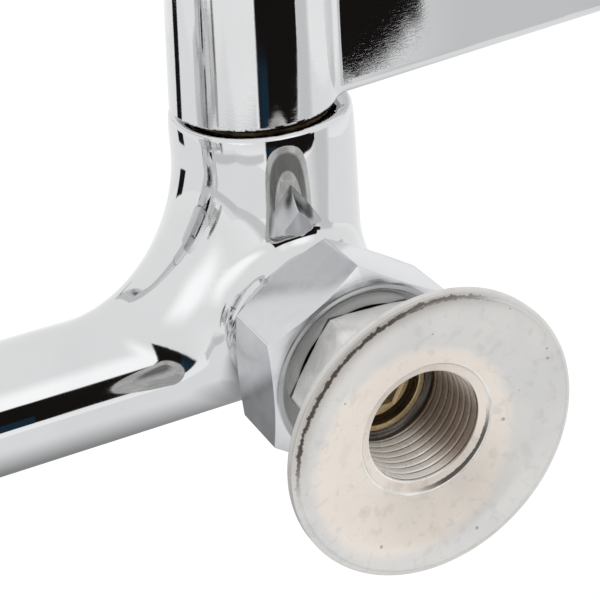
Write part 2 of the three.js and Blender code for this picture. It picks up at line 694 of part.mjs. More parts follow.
function leverHandle() {
  const skirt = turned([
    [0, skirtLow],
    [SKIRT_RADIUS - SKIRT_EDGE, skirtLow],
    [SKIRT_RADIUS, skirtLow + SKIRT_EDGE],
    [SKIRT_TOP_RADIUS, handleTop - HANDLE_EDGE],
    [SKIRT_TOP_RADIUS - HANDLE_EDGE * ROUND_SHARE, handleTop - HANDLE_EDGE * ROUND_SHARE],
    [SKIRT_TOP_RADIUS - HANDLE_EDGE, handleTop],
    [0, handleTop],
  ]);
  const cavityRadius = SKIRT_RADIUS - SKIRT_WALL;
  const hollow = cut(
    rod(cavityRadius, skirtLow - 1, socketTop - CAVITY_ROOF, SMALL),
    rod(stemBore + SOCKET_WALL, handleBossLow, socketTop, SMALL),
  );
  return cut(
    join(skirt, leverBlade()),
    hollow,
    rod(stemBore, skirtLow - 1, socketTop, SMALL),
    rod(screwHole, socketTop - 1, pocketFloor + 1, SMALL),
    rod(SCREW_POCKET_RADIUS, pocketFloor, buttonFloor + 1, SMALL),
    rod(BUTTON_RADIUS + GAP, buttonFloor, handleTop + 1, SMALL),
  );
}

function handleScrew() {
  const head = turned([
    [0, screwTip],
    [SCREW_SHANK_RADIUS, screwTip],
    [SCREW_SHANK_RADIUS, screwHeadLow],
    [SCREW_HEAD_RADIUS, screwHeadLow],
    [SCREW_HEAD_RADIUS, screwHeadLow + SCREW_HEAD_HEIGHT - SCREW_HEAD_EDGE],
    [SCREW_HEAD_RADIUS - SCREW_HEAD_EDGE, screwHeadLow + SCREW_HEAD_HEIGHT],
    [0, screwHeadLow + SCREW_HEAD_HEIGHT],
  ], SMALL);
  const length = 2 * (SCREW_HEAD_RADIUS - SCREW_SLOT_INSET);
  const depth = 2 * SCREW_SLOT;
  const z = screwHeadLow + SCREW_HEAD_HEIGHT;
  return cut(
    head,
    block(length, SCREW_SLOT, depth, 0, 0, z),
    block(SCREW_SLOT, length, depth, 0, 0, z),
  );
}

function indexButton() {
  const low = buttonFloor + GAP;
  const profile = [[0, low], [BUTTON_RADIUS, low]];
  const crownSteps = 3;
  for (let i = 0; i <= crownSteps; i++) {
    const share = 1 - i / crownSteps;
    profile.push([BUTTON_RADIUS * share, handleTop + BUTTON_CROWN * (1 - share * share)]);
  }
  return turned(profile, SMALL);
}

// ---------------------------------------------------------------- swing spout

// Stations of the bent tube in the plane above -Y: position and heading at each.
function spoutStations() {
  const pitch = rad(SPOUT_PITCH);
  const stations = [];
  const at = new THREE.Vector2(0, tubeLow); // forward, up
  let heading = Math.PI / 2; // straight up
  const mark = () => stations.push({ at: at.clone(), heading });
  const straight = (length, steps) => {
    for (let i = 0; i < steps; i++) {
      at.x += (length / steps) * Math.cos(heading);
      at.y += (length / steps) * Math.sin(heading);
      mark();
    }
  };
  const bend = (radius, turn, steps) => {
    const centre = at.clone().add(
      new THREE.Vector2(Math.sin(heading), -Math.cos(heading)).multiplyScalar(radius));
    for (let i = 0; i < steps; i++) {
      heading -= turn / steps;
      at.set(centre.x - radius * Math.sin(heading), centre.y + radius * Math.cos(heading));
      mark();
    }
  };
  mark();
  const topTurn = Math.PI / 2 - pitch;
  const endTurn = Math.PI / 2 + pitch;
  const topReach = TOP_BEND_RADIUS * (1 - Math.sin(pitch));
  const endReach = END_BEND_RADIUS * (1 + Math.sin(pitch));
  const run = (SPOUT_REACH - topReach - endReach) / Math.cos(pitch);
  straight(SPOUT_RISE - TOP_BEND_RADIUS * Math.cos(pitch) - tubeLow, 2);
  bend(TOP_BEND_RADIUS, topTurn, 9);
  straight(run, 4);
  bend(END_BEND_RADIUS, endTurn, 10);
  straight(OUTLET_DROP, 1);
  return stations;
}

// The tube's centre line as a curve with one step for each station.
class TubeRun extends THREE.Curve {
  constructor(stations) {
    super();
    this.stations = stations;
  }
  getUtoTmapping(u) {
    return u;
  }
  pick(t) {
    const last = this.stations.length - 1;
    const low = Math.min(Math.floor(t * last + 1e-9), last - 1);
    return [this.stations[low], this.stations[low + 1], t * last - low];
  }
  getPoint(t, target = new THREE.Vector3()) {
    const [a, b, share] = this.pick(t);
    const at = a.at.clone().lerp(b.at, share);
    return target.set(0, -at.x, at.y);
  }
  getTangent(t, target = new THREE.Vector3()) {
    const [a, b, share] = this.pick(t);
    const heading = THREE.MathUtils.lerp(a.heading, b.heading, share);
    return target.set(0, -Math.cos(heading), Math.sin(heading));
  }
}

const stations = spoutStations();
const outlet = stations[stations.length - 1].at; // forward, up
const aeratorHigh = outlet.y + AERATOR_LAP;
const aeratorLow = aeratorHigh - AERATOR_LENGTH;
const gasketHigh = outlet.y - GAP;
const screenHigh = gasketHigh - GASKET_THICKNESS - GAP;
const aeratorBore = TUBE_RADIUS + GAP;
const aeratorLip = TUBE_RADIUS - AERATOR_LIP;

function spoutTube() {
  const section = new THREE.Shape().absarc(0, 0, TUBE_RADIUS, 0, 2 * Math.PI, false);
  section.holes.push(new THREE.Path().absarc(0, 0, tubeBore, 0, 2 * Math.PI, true));
  return solid(new THREE.ExtrudeGeometry(section, {
    steps: stations.length - 1,
    curveSegments: TUBE_FACETS / 2,
    bevelEnabled: false,
    extrudePath: new TubeRun(stations),
  }));
}

function swivelSpud() {
  const grooveHalf = O_RING_SECTION + O_RING_PLAY;
  const profile = [[SPUD_BORE_RADIUS, spudLow], [spudRadius, spudLow]];
  for (const height of O_RING_HEIGHTS) {
    const z = spudLow + height;
    profile.push([spudRadius, z - grooveHalf], [spudGroove, z - grooveHalf]);
    profile.push([spudGroove, z + grooveHalf], [spudRadius, z + grooveHalf]);
  }
  profile.push(
    [spudRadius, spudFlangeLow],
    [CENTRE_THREAD_RADIUS - GAP, spudFlangeLow],
    [CENTRE_THREAD_RADIUS - GAP, spudFlangeHigh],
    [SPUD_NECK_RADIUS, spudFlangeHigh],
    [SPUD_NECK_RADIUS, spudHigh],
    [TUBE_RADIUS + GAP, spudHigh],
    [TUBE_RADIUS + GAP, spudHigh - SPUD_SOCKET_DEPTH],
    [SPUD_BORE_RADIUS, spudHigh - SPUD_SOCKET_DEPTH],
    [SPUD_BORE_RADIUS, spudLow],
  );
  return turned(profile);
}

function swivelORing(height) {
  const middle = (spudGroove + CENTRE_BORE_RADIUS) / 2;
  return oRing(middle, O_RING_SECTION, spudLow + height, FINE);
}

const thrustWasher = () => ring(
  spudRadius + GAP, CENTRE_THREAD_RADIUS - GAP, washerLow, washerLow + THRUST_WASHER_THICKNESS);

function swivelNut() {
  const corner = hexCorner(SPOUT_NUT_ACROSS_FLATS);
  const flat = SPOUT_NUT_ACROSS_FLATS / 2;
  const hexagon = hexPrism(SPOUT_NUT_ACROSS_FLATS, spoutNutLow, spoutNutHigh, 30);
  const chamfered = turned([
    [0, spoutNutLow],
    [flat, spoutNutLow],
    [corner + GAP, spoutNutLow + NUT_CHAMFER],
    [corner + GAP, spoutNutHigh - NUT_CHAMFER],
    [flat, spoutNutHigh],
    [0, spoutNutHigh],
  ]);
  const thread = rod(CENTRE_THREAD_RADIUS + GAP, spoutNutLow - 1, spoutNutLip);
  const hole = rod(SPUD_NECK_RADIUS + GAP, spoutNutLow, spoutNutHigh + 1);
  return cut(hexagon.intersect(chamfered), thread, hole);
}

function aeratorShell() {
  return turned([
    [aeratorBore, aeratorHigh],
    [AERATOR_RADIUS, aeratorHigh],
    [AERATOR_RADIUS, aeratorLow + AERATOR_EDGE],
    [AERATOR_RADIUS - AERATOR_EDGE, aeratorLow],
    [aeratorLip, aeratorLow],
    [aeratorLip, aeratorLow + AERATOR_WALL],
    [aeratorBore, aeratorLow + AERATOR_WALL],
    [aeratorBore, aeratorHigh],
  ]);
}

const aeratorGasket = () =>
  ring(TUBE_RADIUS - GASKET_WIDTH, aeratorBore - GAP, gasketHigh - GASKET_THICKNESS, gasketHigh, SMALL);

function aeratorScreen() {
  const low = aeratorLow + AERATOR_WALL + GAP;
  const plate = turned([
    [0, screenHigh - SCREEN_THICKNESS],
    [aeratorLip - SCREEN_NOSE_INSET, screenHigh - SCREEN_THICKNESS],
    [aeratorLip - SCREEN_NOSE_INSET, low],
    [aeratorBore - GAP, low],
    [aeratorBore - GAP, screenHigh],
    [0, screenHigh],
  ], SMALL);
  const holes = [rod(SCREEN_HOLE_RADIUS, low - 1, screenHigh + 1, 8)];
  for (let i = 0; i < SCREEN_HOLES; i++) {
    const angle = (i / SCREEN_HOLES) * 2 * Math.PI;
    holes.push(rod(SCREEN_HOLE_RADIUS, low - 1, screenHigh + 1, 8)
      .translate(SCREEN_CIRCLE_RADIUS * Math.cos(angle), SCREEN_CIRCLE_RADIUS * Math.sin(angle), 0));
  }
  return cut(plate, ...holes);
}

// ---------------------------------------------------------------- assembly

const faucet = new THREE.Group();
const hubLine = new THREE.Group(); // carries everything on the valve and spout axes
hubLine.position.set(0, -HUB_TO_WALL, 0);
faucet.add(hubLine);
hubLine.add(piece('faucet_body', faucetBody(), 'chrome'));

for (const [side, label, water] of [[-1, 'left', 'hot'], [1, 'right', 'cold']]) {
  const inlet = new THREE.Group();
  inlet.position.x = side * hubX;
  inlet.add(
    piece(`coupling_nut_${label}`, couplingNut(), 'satin'),
    piece(`inlet_washer_${label}`, inletWasher(), 'fibre'),
    piece(`union_tailpiece_${label}`, unionTailpiece(), 'brass'),
    piece(`inlet_flange_${label}`, inletFlange(), 'nickel'),
  );

  const valve = new THREE.Group(); // the lever points away from the spout
  valve.position.x = side * hubX;
  valve.rotation.z = side < 0 ? 0 : Math.PI;
  valve.add(
    piece(`seat_seal_${label}`, ring(SEAL_HOLE_RADIUS, SEAL_RADIUS, sealLow, sealHigh, SMALL), 'rubber'),
    piece(`fixed_disc_${label}`, ceramicDisc(fixedLow), 'ceramic'),
    piece(`moving_disc_${label}`, ceramicDisc(movingLow), 'ceramic'),
    piece(`cartridge_housing_${label}`, cartridgeHousing(), 'brass'),
    piece(`bonnet_nut_${label}`, bonnetNut(), 'brass'),
    piece(`valve_stem_${label}`, valveStem(), 'brass'),
    piece(
      `stem_o_ring_${label}`,
      oRing((STEM_GROOVE_RADIUS - GAP + stemBore) / 2, STEM_SEAL_SECTION, STEM_SEAL_HEIGHT, SMALL),
      'rubber',
    ),
    piece(`stem_clip_${label}`, stemClip(), 'steel'),
    piece(`lever_handle_${label}`, leverHandle(), 'chrome'),
    piece(`handle_screw_${label}`, handleScrew(), 'steel'),
    piece(`index_button_${label}`, indexButton(), water),
  );
  hubLine.add(inlet, valve);
}

const spout = new THREE.Group();
const aerator = new THREE.Group();
aerator.position.y = -outlet.x;
aerator.add(
  piece('aerator_shell', aeratorShell(), 'chrome'),
  piece('aerator_gasket', aeratorGasket(), 'rubber'),
  piece('aerator_screen', aeratorScreen(), 'plastic'),
);
spout.add(
  piece('spout_tube', spoutTube(), 'chrome'),
  piece('swivel_spud', swivelSpud(), 'brass'),
  piece('swivel_o_ring_lower', swivelORing(O_RING_HEIGHTS[0]), 'rubber'),
  piece('swivel_o_ring_upper', swivelORing(O_RING_HEIGHTS[1]), 'rubber'),
  aerator,
);
hubLine.add(
  piece('thrust_washer', thrustWasher(), 'plastic'),
  piece('swivel_nut', swivelNut(), 'chrome'),
  spout,
);

export default faucet;
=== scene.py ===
# %% [markdown]
# # A commercial wall faucet in Blender
#
# The object is a wall faucet as it comes out of its box: a chromed casting with two upright valve
# hubs, a lever on each hub, a long swing spout in the middle, and at the back of each hub a union
# nut and a round flange with a pipe thread. The photograph looks at one inlet from behind and above.
#
# Most of what is seen is mirror chrome, and a mirror has no colour of its own. It shows the shape
# of the metal and the room around it. So two things matter more than any texture: skins that are
# really smooth, with exact normals, and a studio with light and dark things in the right places.
#
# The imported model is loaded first. It gives the true place of every piece, so nothing is fitted.

import json
import math

import bmesh
import bpy
import numpy as np
from mathutils import Matrix, Vector


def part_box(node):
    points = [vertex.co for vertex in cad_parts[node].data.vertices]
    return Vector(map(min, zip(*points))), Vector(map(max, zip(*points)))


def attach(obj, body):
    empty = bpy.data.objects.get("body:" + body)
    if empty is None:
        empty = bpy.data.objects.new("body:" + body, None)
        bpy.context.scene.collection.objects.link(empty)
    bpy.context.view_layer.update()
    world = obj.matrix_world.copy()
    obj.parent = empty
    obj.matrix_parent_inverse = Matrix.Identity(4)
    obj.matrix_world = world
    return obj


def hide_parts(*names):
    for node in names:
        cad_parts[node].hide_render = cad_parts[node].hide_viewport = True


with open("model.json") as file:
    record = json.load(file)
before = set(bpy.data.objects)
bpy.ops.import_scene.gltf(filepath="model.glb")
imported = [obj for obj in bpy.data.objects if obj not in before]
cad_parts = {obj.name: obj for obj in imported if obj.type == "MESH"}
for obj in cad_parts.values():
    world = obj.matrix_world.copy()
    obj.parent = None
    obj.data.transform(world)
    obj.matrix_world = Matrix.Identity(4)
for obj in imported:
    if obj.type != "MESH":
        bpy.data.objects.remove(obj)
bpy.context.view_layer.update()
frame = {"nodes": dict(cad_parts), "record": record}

# %% [markdown]
# ## Places and driving sizes
#
# Blender works in metres here, so a millimetre is a factor. The axes of the pieces come from the
# frame: each valve stands over its inlet, and the spout's axis is midway between them.

# %% Places taken from the frame
MM = 0.001


def middle_of(node):
    """Centre of a node's box."""
    low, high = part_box(node)
    return (low + high) / 2


HUB_X = middle_of("inlet_flange_right").x
HUB_Y = middle_of("index_button_right").y
HUB_TOP = 39.6 * MM
SIDES = {"left": -1, "right": 1}
print("valve axes at x = +/-", round(HUB_X / MM, 2), "y =", round(HUB_Y / MM, 2), "mm")

# %% [markdown]
# ## The camera
#
# The camera was found by fitting the circles of the flange, the nut and the hub to the photograph.
# It stands behind the wall plane, above the faucet, and looks down at the left inlet.

# %% Camera
CAMERA_PLACE = Vector((15.661, 208.21, 159.461)) * MM
CAMERA_RIGHT = Vector((-0.8929, 0.4451, -0.0686))
CAMERA_UP = Vector((-0.2692, -0.4055, 0.8736))
CAMERA_BACK = CAMERA_RIGHT.cross(CAMERA_UP)
LENS = 102.0

camera_data = bpy.data.cameras.new("camera")
camera_data.lens = LENS
camera_data.sensor_width = 36.0
camera_data.clip_start = 0.01
camera = bpy.data.objects.new("camera", camera_data)
turn = Matrix((CAMERA_RIGHT, CAMERA_UP, CAMERA_BACK)).transposed()
camera.matrix_world = Matrix.Translation(CAMERA_PLACE) @ turn.to_4x4()
bpy.context.scene.collection.objects.link(camera)
bpy.context.scene.camera = camera
print("camera looks along", [round(-c, 3) for c in CAMERA_BACK])

# %% [markdown]
# ## Helpers for meshes
#
# Three kinds of skin make every piece: turned skins, fields and one swept tube.
#
# A turned piece is a profile carried round an axis. The profile may change with the angle: that
# makes a hexagon (the radius follows the flats) and a thread (the profile climbs with the angle).
# Letting the same function draw all three keeps chamfers exact where a cone meets a flat.

# %% A mesh object from arrays
SHARP_DEGREES = 32


def mesh_object(name, points, faces, normals=None):
    """A smooth-shaded mesh. normals gives one direction for each face corner, where it is known."""
    mesh = bpy.data.meshes.new(name)
    mesh.from_pydata([tuple(p) for p in points], [], [tuple(f) for f in faces])
    mesh.validate()
    mesh.shade_smooth()
    if normals is None:
        mesh.set_sharp_from_angle(angle=math.radians(SHARP_DEGREES))
    else:
        mesh.normals_split_custom_set(normals)
    piece = bpy.data.objects.new(name, mesh)
    bpy.context.scene.collection.objects.link(piece)
    return piece


def ease(share):
    """0 below 0, 1 above 1, and a smooth S between."""
    share = np.clip(share, 0, 1)
    return share * share * (3 - 2 * share)


# %% Profiles with rounded corners
SIDE_SHARE = 0.45
NEARLY_NOTHING = 1e-9


def soften(profile, steps=3):
    """Profile of (radius, along, fillet) points, with each corner rounded by its own fillet. A
    fillet takes up no more than a share of each side. The number of points doesn't depend on the
    lengths, so the profiles at different angles can be joined up."""
    points = []
    last = len(profile) - 1
    for i, (radius, along, fillet) in enumerate(profile):
        here = np.array([radius, along])
        if fillet <= 0 or i in (0, last):
            points += [here] * (steps + 1 if fillet > 0 else 1)
            continue
        before = np.array(profile[i - 1][:2]) - here
        after = np.array(profile[i + 1][:2]) - here
        reach_before = max(np.hypot(*before), NEARLY_NOTHING)
        reach_after = max(np.hypot(*after), NEARLY_NOTHING)
        reach = min(fillet, reach_before * SIDE_SHARE, reach_after * SIDE_SHARE)
        start = here + before / reach_before * reach
        end = here + after / reach_after * reach
        for k in range(steps + 1):
            t = k / steps
            points.append((1 - t) ** 2 * start + 2 * t * (1 - t) * here + t * t * end)
    return np.array(points)


# %% Skins of revolution
CORNER_WIDTH = math.radians(0.5)
SAME_PLACE = 0.002 * MM
NO_LENGTH = 0.001 * MM


def spin(name, outline, centre, axis="Z", columns=96, first_angle=0.0, ring=False,
         sharp=SHARP_DEGREES, hexagon=False):
    """Carries outline(angle), an array of (radius, along) points, round an axis through centre.
    ring closes the profile on itself. Otherwise its two ends lie on the axis. A hexagon has its
    corners at the first angle and every 60 degrees on, each turned off to a narrow band."""
    angles = first_angle + np.arange(columns) * 2 * math.pi / columns
    if hexagon:
        is_corner = np.arange(columns) % (columns // 6) == 0
        before, after = angles[is_corner] - CORNER_WIDTH / 2, angles[is_corner] + CORNER_WIDTH / 2
        angles = np.sort(np.concatenate([angles[~is_corner], before, after]))
        columns = len(angles)
    table = np.array([outline(a) for a in angles])
    rows = table.shape[1]
    radius, along = table[..., 0], table[..., 1]
    u = radius * np.cos(angles)[:, None]
    v = radius * np.sin(angles)[:, None]
    if axis == "Z":
        points = np.stack([u, v, along], -1)
    else:
        points = np.stack([-u, along, v], -1)
    points = points.reshape(-1, 3) + np.array(centre)
    faces = []
    for i in range(columns):
        j = (i + 1) % columns
        for k in range(rows if ring else rows - 1):
            n = (k + 1) % rows
            faces.append((i * rows + k, j * rows + k, j * rows + n, i * rows + n))
    piece = mesh_object(name, points, faces)
    tidy_skin(piece, sharp)
    return piece


def tidy_skin(piece, sharp_degrees=SHARP_DEGREES):
    """Merges points that coincide, turns all faces outwards and marks the sharp edges."""
    work = bmesh.new()
    work.from_mesh(piece.data)
    bmesh.ops.remove_doubles(work, verts=work.verts, dist=SAME_PLACE)
    bmesh.ops.dissolve_degenerate(work, edges=work.edges, dist=NO_LENGTH)
    bmesh.ops.recalc_face_normals(work, faces=work.faces)
    work.to_mesh(piece.data)
    work.free()
    piece.data.shade_smooth()
    piece.data.set_sharp_from_angle(angle=math.radians(sharp_degrees))


# %% Hexagons
def hex_radius(angle, across_flats, corner_angle=0.0):
    """Distance from the axis to a hexagon's side."""
    step = math.radians(60)
    off = (angle - corner_angle) % step - step / 2
    return across_flats / 2 / math.cos(off)


# %% [markdown]
# The casting and the levers are different: their parts flow into each other with large fillets,
# as foundry patterns do. Such a shape is easy to say as a field, the distance to the nearest
# surface, negative inside the metal. Two fields are joined with a true round fillet between them,
# or one is cut out of the other. The skin is then laid where the field is zero, and the slope of
# the field gives the exact normal, which is what makes the chrome look polished and not lumpy.

# %% Fields
def joined(a, b, fillet):
    """Both bodies in one, with a round fillet of this radius in the hollow between them."""
    hollow = np.hypot(np.maximum(fillet - a, 0), np.maximum(fillet - b, 0))
    return np.maximum(fillet, np.minimum(a, b)) - hollow


def common(a, b, edge):
    """Only what both bodies hold, with the edge between them rounded by this radius."""
    return -joined(-a, -b, edge)


def without(a, b):
    """The first body with the second cut out of it."""
    return np.maximum(a, -b)


def slab(value, low, high):
    """Everything between two planes."""
    return np.maximum(low - value, value - high)


def bore(radial, radius, height, low, high):
    """A straight hole, or a plain disc, about the line where radial is zero."""
    return np.maximum(radial - radius, slab(height, low, high))


# %% From a field to a skin
def slope(field, points, step=0.02 * MM):
    """Direction in which the field grows fastest, from small steps each way."""
    parts = []
    for axis in np.eye(3) * step:
        ahead = field(*(points + axis).T)
        behind = field(*(points - axis).T)
        parts.append((ahead - behind) / (2 * step))
    return np.stack(parts, -1)


def onto_surface(field, points, limit, rounds=5):
    """Walks each point down the slope until it lies on the surface."""
    for _ in range(rounds):
        value = field(*points.T)
        grade = slope(field, points)
        steep = np.maximum((grade ** 2).sum(-1), 0.05)
        move = grade * (value / steep)[:, None]
        length = np.linalg.norm(move, axis=-1, keepdims=True)
        points = points - move * np.minimum(1, limit / np.maximum(length, 1e-12))
    return points


def cells_crossed(inside):
    """Cells of the grid with some corners inside the body and some outside it."""
    corners = sum(
        inside[i:i + inside.shape[0] - 1, j:j + inside.shape[1] - 1, k:k + inside.shape[2] - 1]
        .astype(np.int8)
        for i in (0, 1) for j in (0, 1) for k in (0, 1)
    )
    return (corners > 0) & (corners < 8)


def faces_across(inside, number):
    """A face across each grid line that goes through the surface. Its corners are the points of
    the four cells round the line, and number says which point belongs to which cell."""
    faces = []
    for axis in range(3):
        low = np.take(inside, range(inside.shape[axis] - 1), axis)
        high = np.take(inside, range(1, inside.shape[axis]), axis)
        at = np.argwhere(low != high)
        outwards = low[tuple(at.T)]
        a, b = (axis + 1) % 3, (axis + 2) % 3
        around = []
        for da, db in ((1, 1), (0, 1), (0, 0), (1, 0)):
            cell = at.copy()
            cell[:, a] -= da
            cell[:, b] -= db
            around.append(number[tuple(cell.T)])
        quads = np.stack(around, -1)
        quads[~outwards] = quads[~outwards][:, ::-1]
        faces.append(quads)
    return np.concatenate(faces)


def skin_of(field, grid, relax=3):
    """Closed skin where the field is zero: one point in each cell that the surface crosses, moved
    onto it, and evened out by stepping halfway to its neighbours and back a few times."""
    inside = field(*np.meshgrid(*grid, indexing="ij")) < 0
    crossed = cells_crossed(inside)
    number = np.full(crossed.shape, -1)
    number[crossed] = np.arange(crossed.sum())
    faces = faces_across(inside, number)

    centres = [(line[1:] + line[:-1]) / 2 for line in grid]
    points = np.stack(np.meshgrid(*centres, indexing="ij"), -1)[crossed]
    limit = max(np.diff(line).max() for line in grid)
    points = onto_surface(field, points, limit)
    ends = np.concatenate([faces[:, [i, (i + 1) % 4]] for i in range(4)])
    for _ in range(relax):
        total = np.zeros_like(points)
        count = np.zeros(len(points))
        np.add.at(total, ends[:, 0], points[ends[:, 1]])
        np.add.at(count, ends[:, 0], 1)
        points = onto_surface(field, 0.5 * points + 0.5 * total / count[:, None], limit, 2)
    points = onto_surface(field, points, limit, 2)
    return points, faces, corner_normals(field, points, faces)


def corner_normals(field, points, faces, crease=0.8):
    """The field's own direction at each face corner, or the face's where an edge is sharp."""
    grade = slope(field, points)
    grade /= np.maximum(np.linalg.norm(grade, axis=-1, keepdims=True), 1e-9)
    across = points[faces[:, 2]] - points[faces[:, 0]]
    other = points[faces[:, 3]] - points[faces[:, 1]]
    flat = np.cross(across, other)
    flat /= np.maximum(np.linalg.norm(flat, axis=-1, keepdims=True), 1e-12)
    normals = grade[faces]
    agree = (normals * flat[:, None, :]).sum(-1, keepdims=True) > crease
    return np.where(agree, normals, flat[:, None, :])


def line_of(*stretches):
    """Grid positions from (start, end, spacing) stretches that follow each other."""
    marks = []
    for start, end, spacing in stretches:
        count = max(1, round((end - start) / spacing))
        marks.append(np.linspace(start, end, count, endpoint=False))
    return np.concatenate(marks + [[stretches[-1][1]]])


# %% [markdown]
# ## Shared effects
#
# An effect that several finishes need is a node group with named sockets. It gives out only
# values that change over the surface, and each finish decides what to do with them.
#
# - turning marks: fine rings about an axis, as a lathe leaves them, with the place's radius and
#   station, which say where on a turned piece it is;
# - drawn lines: short straight scratches, as a file, a mill or a polishing mop leaves them;
# - specks: tiny dark pits and dust;
# - clouds: slow changes of tone, where plating is thicker or fingers have been;
# - side mask: which side of an axis a place is on, for wear that isn't the same all round;
# - thread phase: where a place lies between two turns of the pipe thread. Only the bore needs
#   this one.

# %% Node helpers
def add(tree, kind, **values):
    """A node with some of its properties set."""
    node = tree.nodes.new(kind)
    for key, value in values.items():
        setattr(node, key, value)
    return node


def feed(tree, slot, value):
    """Links a node's input to a socket, or sets it to a number."""
    if isinstance(value, bpy.types.NodeSocket):
        tree.links.new(value, slot)
    else:
        slot.default_value = value


def math_node(tree, operation, *values):
    """One step of arithmetic. Each value is a socket or a number."""
    node = add(tree, "ShaderNodeMath", operation=operation)
    for slot, value in zip(node.inputs, values):
        feed(tree, slot, value)
    return node.outputs[0]


def vector_node(tree, operation, *values):
    """One step of vector arithmetic."""
    node = add(tree, "ShaderNodeVectorMath", operation=operation)
    for slot, value in zip(node.inputs, values):
        feed(tree, slot, value)
    return node


def noise_node(tree, vector, scale, detail=2.0, roughness=0.5, distortion=0.0):
    """Noise texture: its value socket, about 0.5 on average."""
    node = add(tree, "ShaderNodeTexNoise")
    for key, value in (("Vector", vector), ("Scale", scale), ("Detail", detail),
                       ("Roughness", roughness), ("Distortion", distortion)):
        feed(tree, node.inputs[key], value)
    return node.outputs["Fac"]


def range_node(tree, value, low, high, to_low=0.0, to_high=1.0):
    """Stretches low..high to to_low..to_high with smooth ends."""
    node = add(tree, "ShaderNodeMapRange", interpolation_type="SMOOTHSTEP")
    for key, number in (("Value", value), ("From Min", low), ("From Max", high),
                        ("To Min", to_low), ("To Max", to_high)):
        feed(tree, node.inputs[key], number)
    return node.outputs["Result"]


def new_group(name, inputs, outputs):
    """An empty node group. inputs is name: (kind, value), outputs is name: kind."""
    tree = bpy.data.node_groups.new(name, "ShaderNodeTree")
    for key, (kind, value) in inputs.items():
        socket = tree.interface.new_socket(key, in_out="INPUT", socket_type="NodeSocket" + kind)
        socket.default_value = value
    for key, kind in outputs.items():
        tree.interface.new_socket(key, in_out="OUTPUT", socket_type="NodeSocket" + kind)
    return tree, add(tree, "NodeGroupInput").outputs, add(tree, "NodeGroupOutput").inputs


# %% Turning marks
def make_turning_marks():
    """Rings about an axis. Both ends of the faucet are alike, so x is taken without its sign."""
    tree, given, out = new_group(
        "turning_marks",
        {"Place": ("Vector", (0, 0, 0)), "Centre": ("Vector", (0, 0, 0)),
         "Axis": ("Vector", (0, 1, 0)), "Rings Per Metre": ("Float", 3000.0),
         "Unevenness": ("Float", 0.4)},
        {"Marks": "Float", "Radius": "Float", "Along": "Float"},
    )
    parts = add(tree, "ShaderNodeSeparateXYZ")
    tree.links.new(given["Place"], parts.inputs[0])
    mirrored = add(tree, "ShaderNodeCombineXYZ")
    tree.links.new(math_node(tree, "ABSOLUTE", parts.outputs[0]), mirrored.inputs[0])
    tree.links.new(parts.outputs[1], mirrored.inputs[1])
    tree.links.new(parts.outputs[2], mirrored.inputs[2])
    local = vector_node(tree, "SUBTRACT", mirrored.outputs[0], given["Centre"]).outputs[0]
    along = vector_node(tree, "DOT_PRODUCT", local, given["Axis"]).outputs["Value"]
    lengthwise = vector_node(tree, "SCALE", given["Axis"])
    tree.links.new(along, lengthwise.inputs["Scale"])
    spoke = vector_node(tree, "SUBTRACT", local, lengthwise.outputs[0]).outputs[0]
    radius = vector_node(tree, "LENGTH", spoke).outputs["Value"]
    rings = add(tree, "ShaderNodeCombineXYZ")
    tree.links.new(radius, rings.inputs[0])
    tree.links.new(along, rings.inputs[1])
    fine = noise_node(tree, rings.outputs[0], given["Rings Per Metre"], 3.0, 0.7)
    patches = noise_node(tree, local, 160.0, 2.0)
    worn = range_node(tree, patches, 0.35, 0.65, 1.0, 0.35)
    fade = math_node(tree, "MULTIPLY_ADD", math_node(tree, "SUBTRACT", worn, 1.0),
                     given["Unevenness"], 1.0)
    marks = math_node(tree, "MULTIPLY", math_node(tree, "SUBTRACT", fine, 0.5), fade)
    tree.links.new(marks, out["Marks"])
    tree.links.new(radius, out["Radius"])
    tree.links.new(along, out["Along"])
    return tree


# %% Drawn lines
def make_drawn_lines():
    """Straight hair lines: noise that is squeezed across and stretched along one direction."""
    tree, given, out = new_group(
        "drawn_lines",
        {"Place": ("Vector", (0, 0, 0)), "Across": ("Vector", (6000.0, 300.0, 300.0)),
         "Bend": ("Float", 0.6)},
        {"Lines": "Float", "Deep Lines": "Float"},
    )
    stretched = vector_node(tree, "MULTIPLY", given["Place"], given["Across"]).outputs[0]
    fine = noise_node(tree, stretched, 1.0, 3.0, 0.6, given["Bend"])
    coarse = noise_node(tree, stretched, 0.23, 1.0, 0.5, given["Bend"])
    tree.links.new(math_node(tree, "SUBTRACT", fine, 0.5), out["Lines"])
    tree.links.new(range_node(tree, coarse, 0.68, 0.74), out["Deep Lines"])
    return tree


# %% Specks
def make_specks():
    """Round specks of random size, thin on the ground."""
    tree, given, out = new_group(
        "specks",
        {"Place": ("Vector", (0, 0, 0)), "Cells Per Metre": ("Float", 500.0),
         "Share": ("Float", 0.2)},
        {"Mask": "Float"},
    )
    cells = add(tree, "ShaderNodeTexVoronoi", feature="F1")
    tree.links.new(given["Place"], cells.inputs["Vector"])
    tree.links.new(given["Cells Per Metre"], cells.inputs["Scale"])
    pick = add(tree, "ShaderNodeSeparateColor")
    tree.links.new(cells.outputs["Color"], pick.inputs[0])
    size = math_node(tree, "MULTIPLY", pick.outputs["Green"], 0.16)
    near = math_node(tree, "LESS_THAN", cells.outputs["Distance"], size)
    chosen = math_node(tree, "LESS_THAN", pick.outputs["Red"], given["Share"])
    tree.links.new(math_node(tree, "MULTIPLY", near, chosen), out["Mask"])
    return tree


# %% Clouds
def make_clouds():
    """Soft patches with torn borders."""
    tree, given, out = new_group(
        "clouds",
        {"Place": ("Vector", (0, 0, 0)), "Patches Per Metre": ("Float", 60.0),
         "Low": ("Float", 0.35), "High": ("Float", 0.65)},
        {"Tone": "Float"},
    )
    slow = noise_node(tree, given["Place"], given["Patches Per Metre"], 5.0, 0.55, 0.4)
    tree.links.new(range_node(tree, slow, given["Low"], given["High"]), out["Tone"])
    return tree


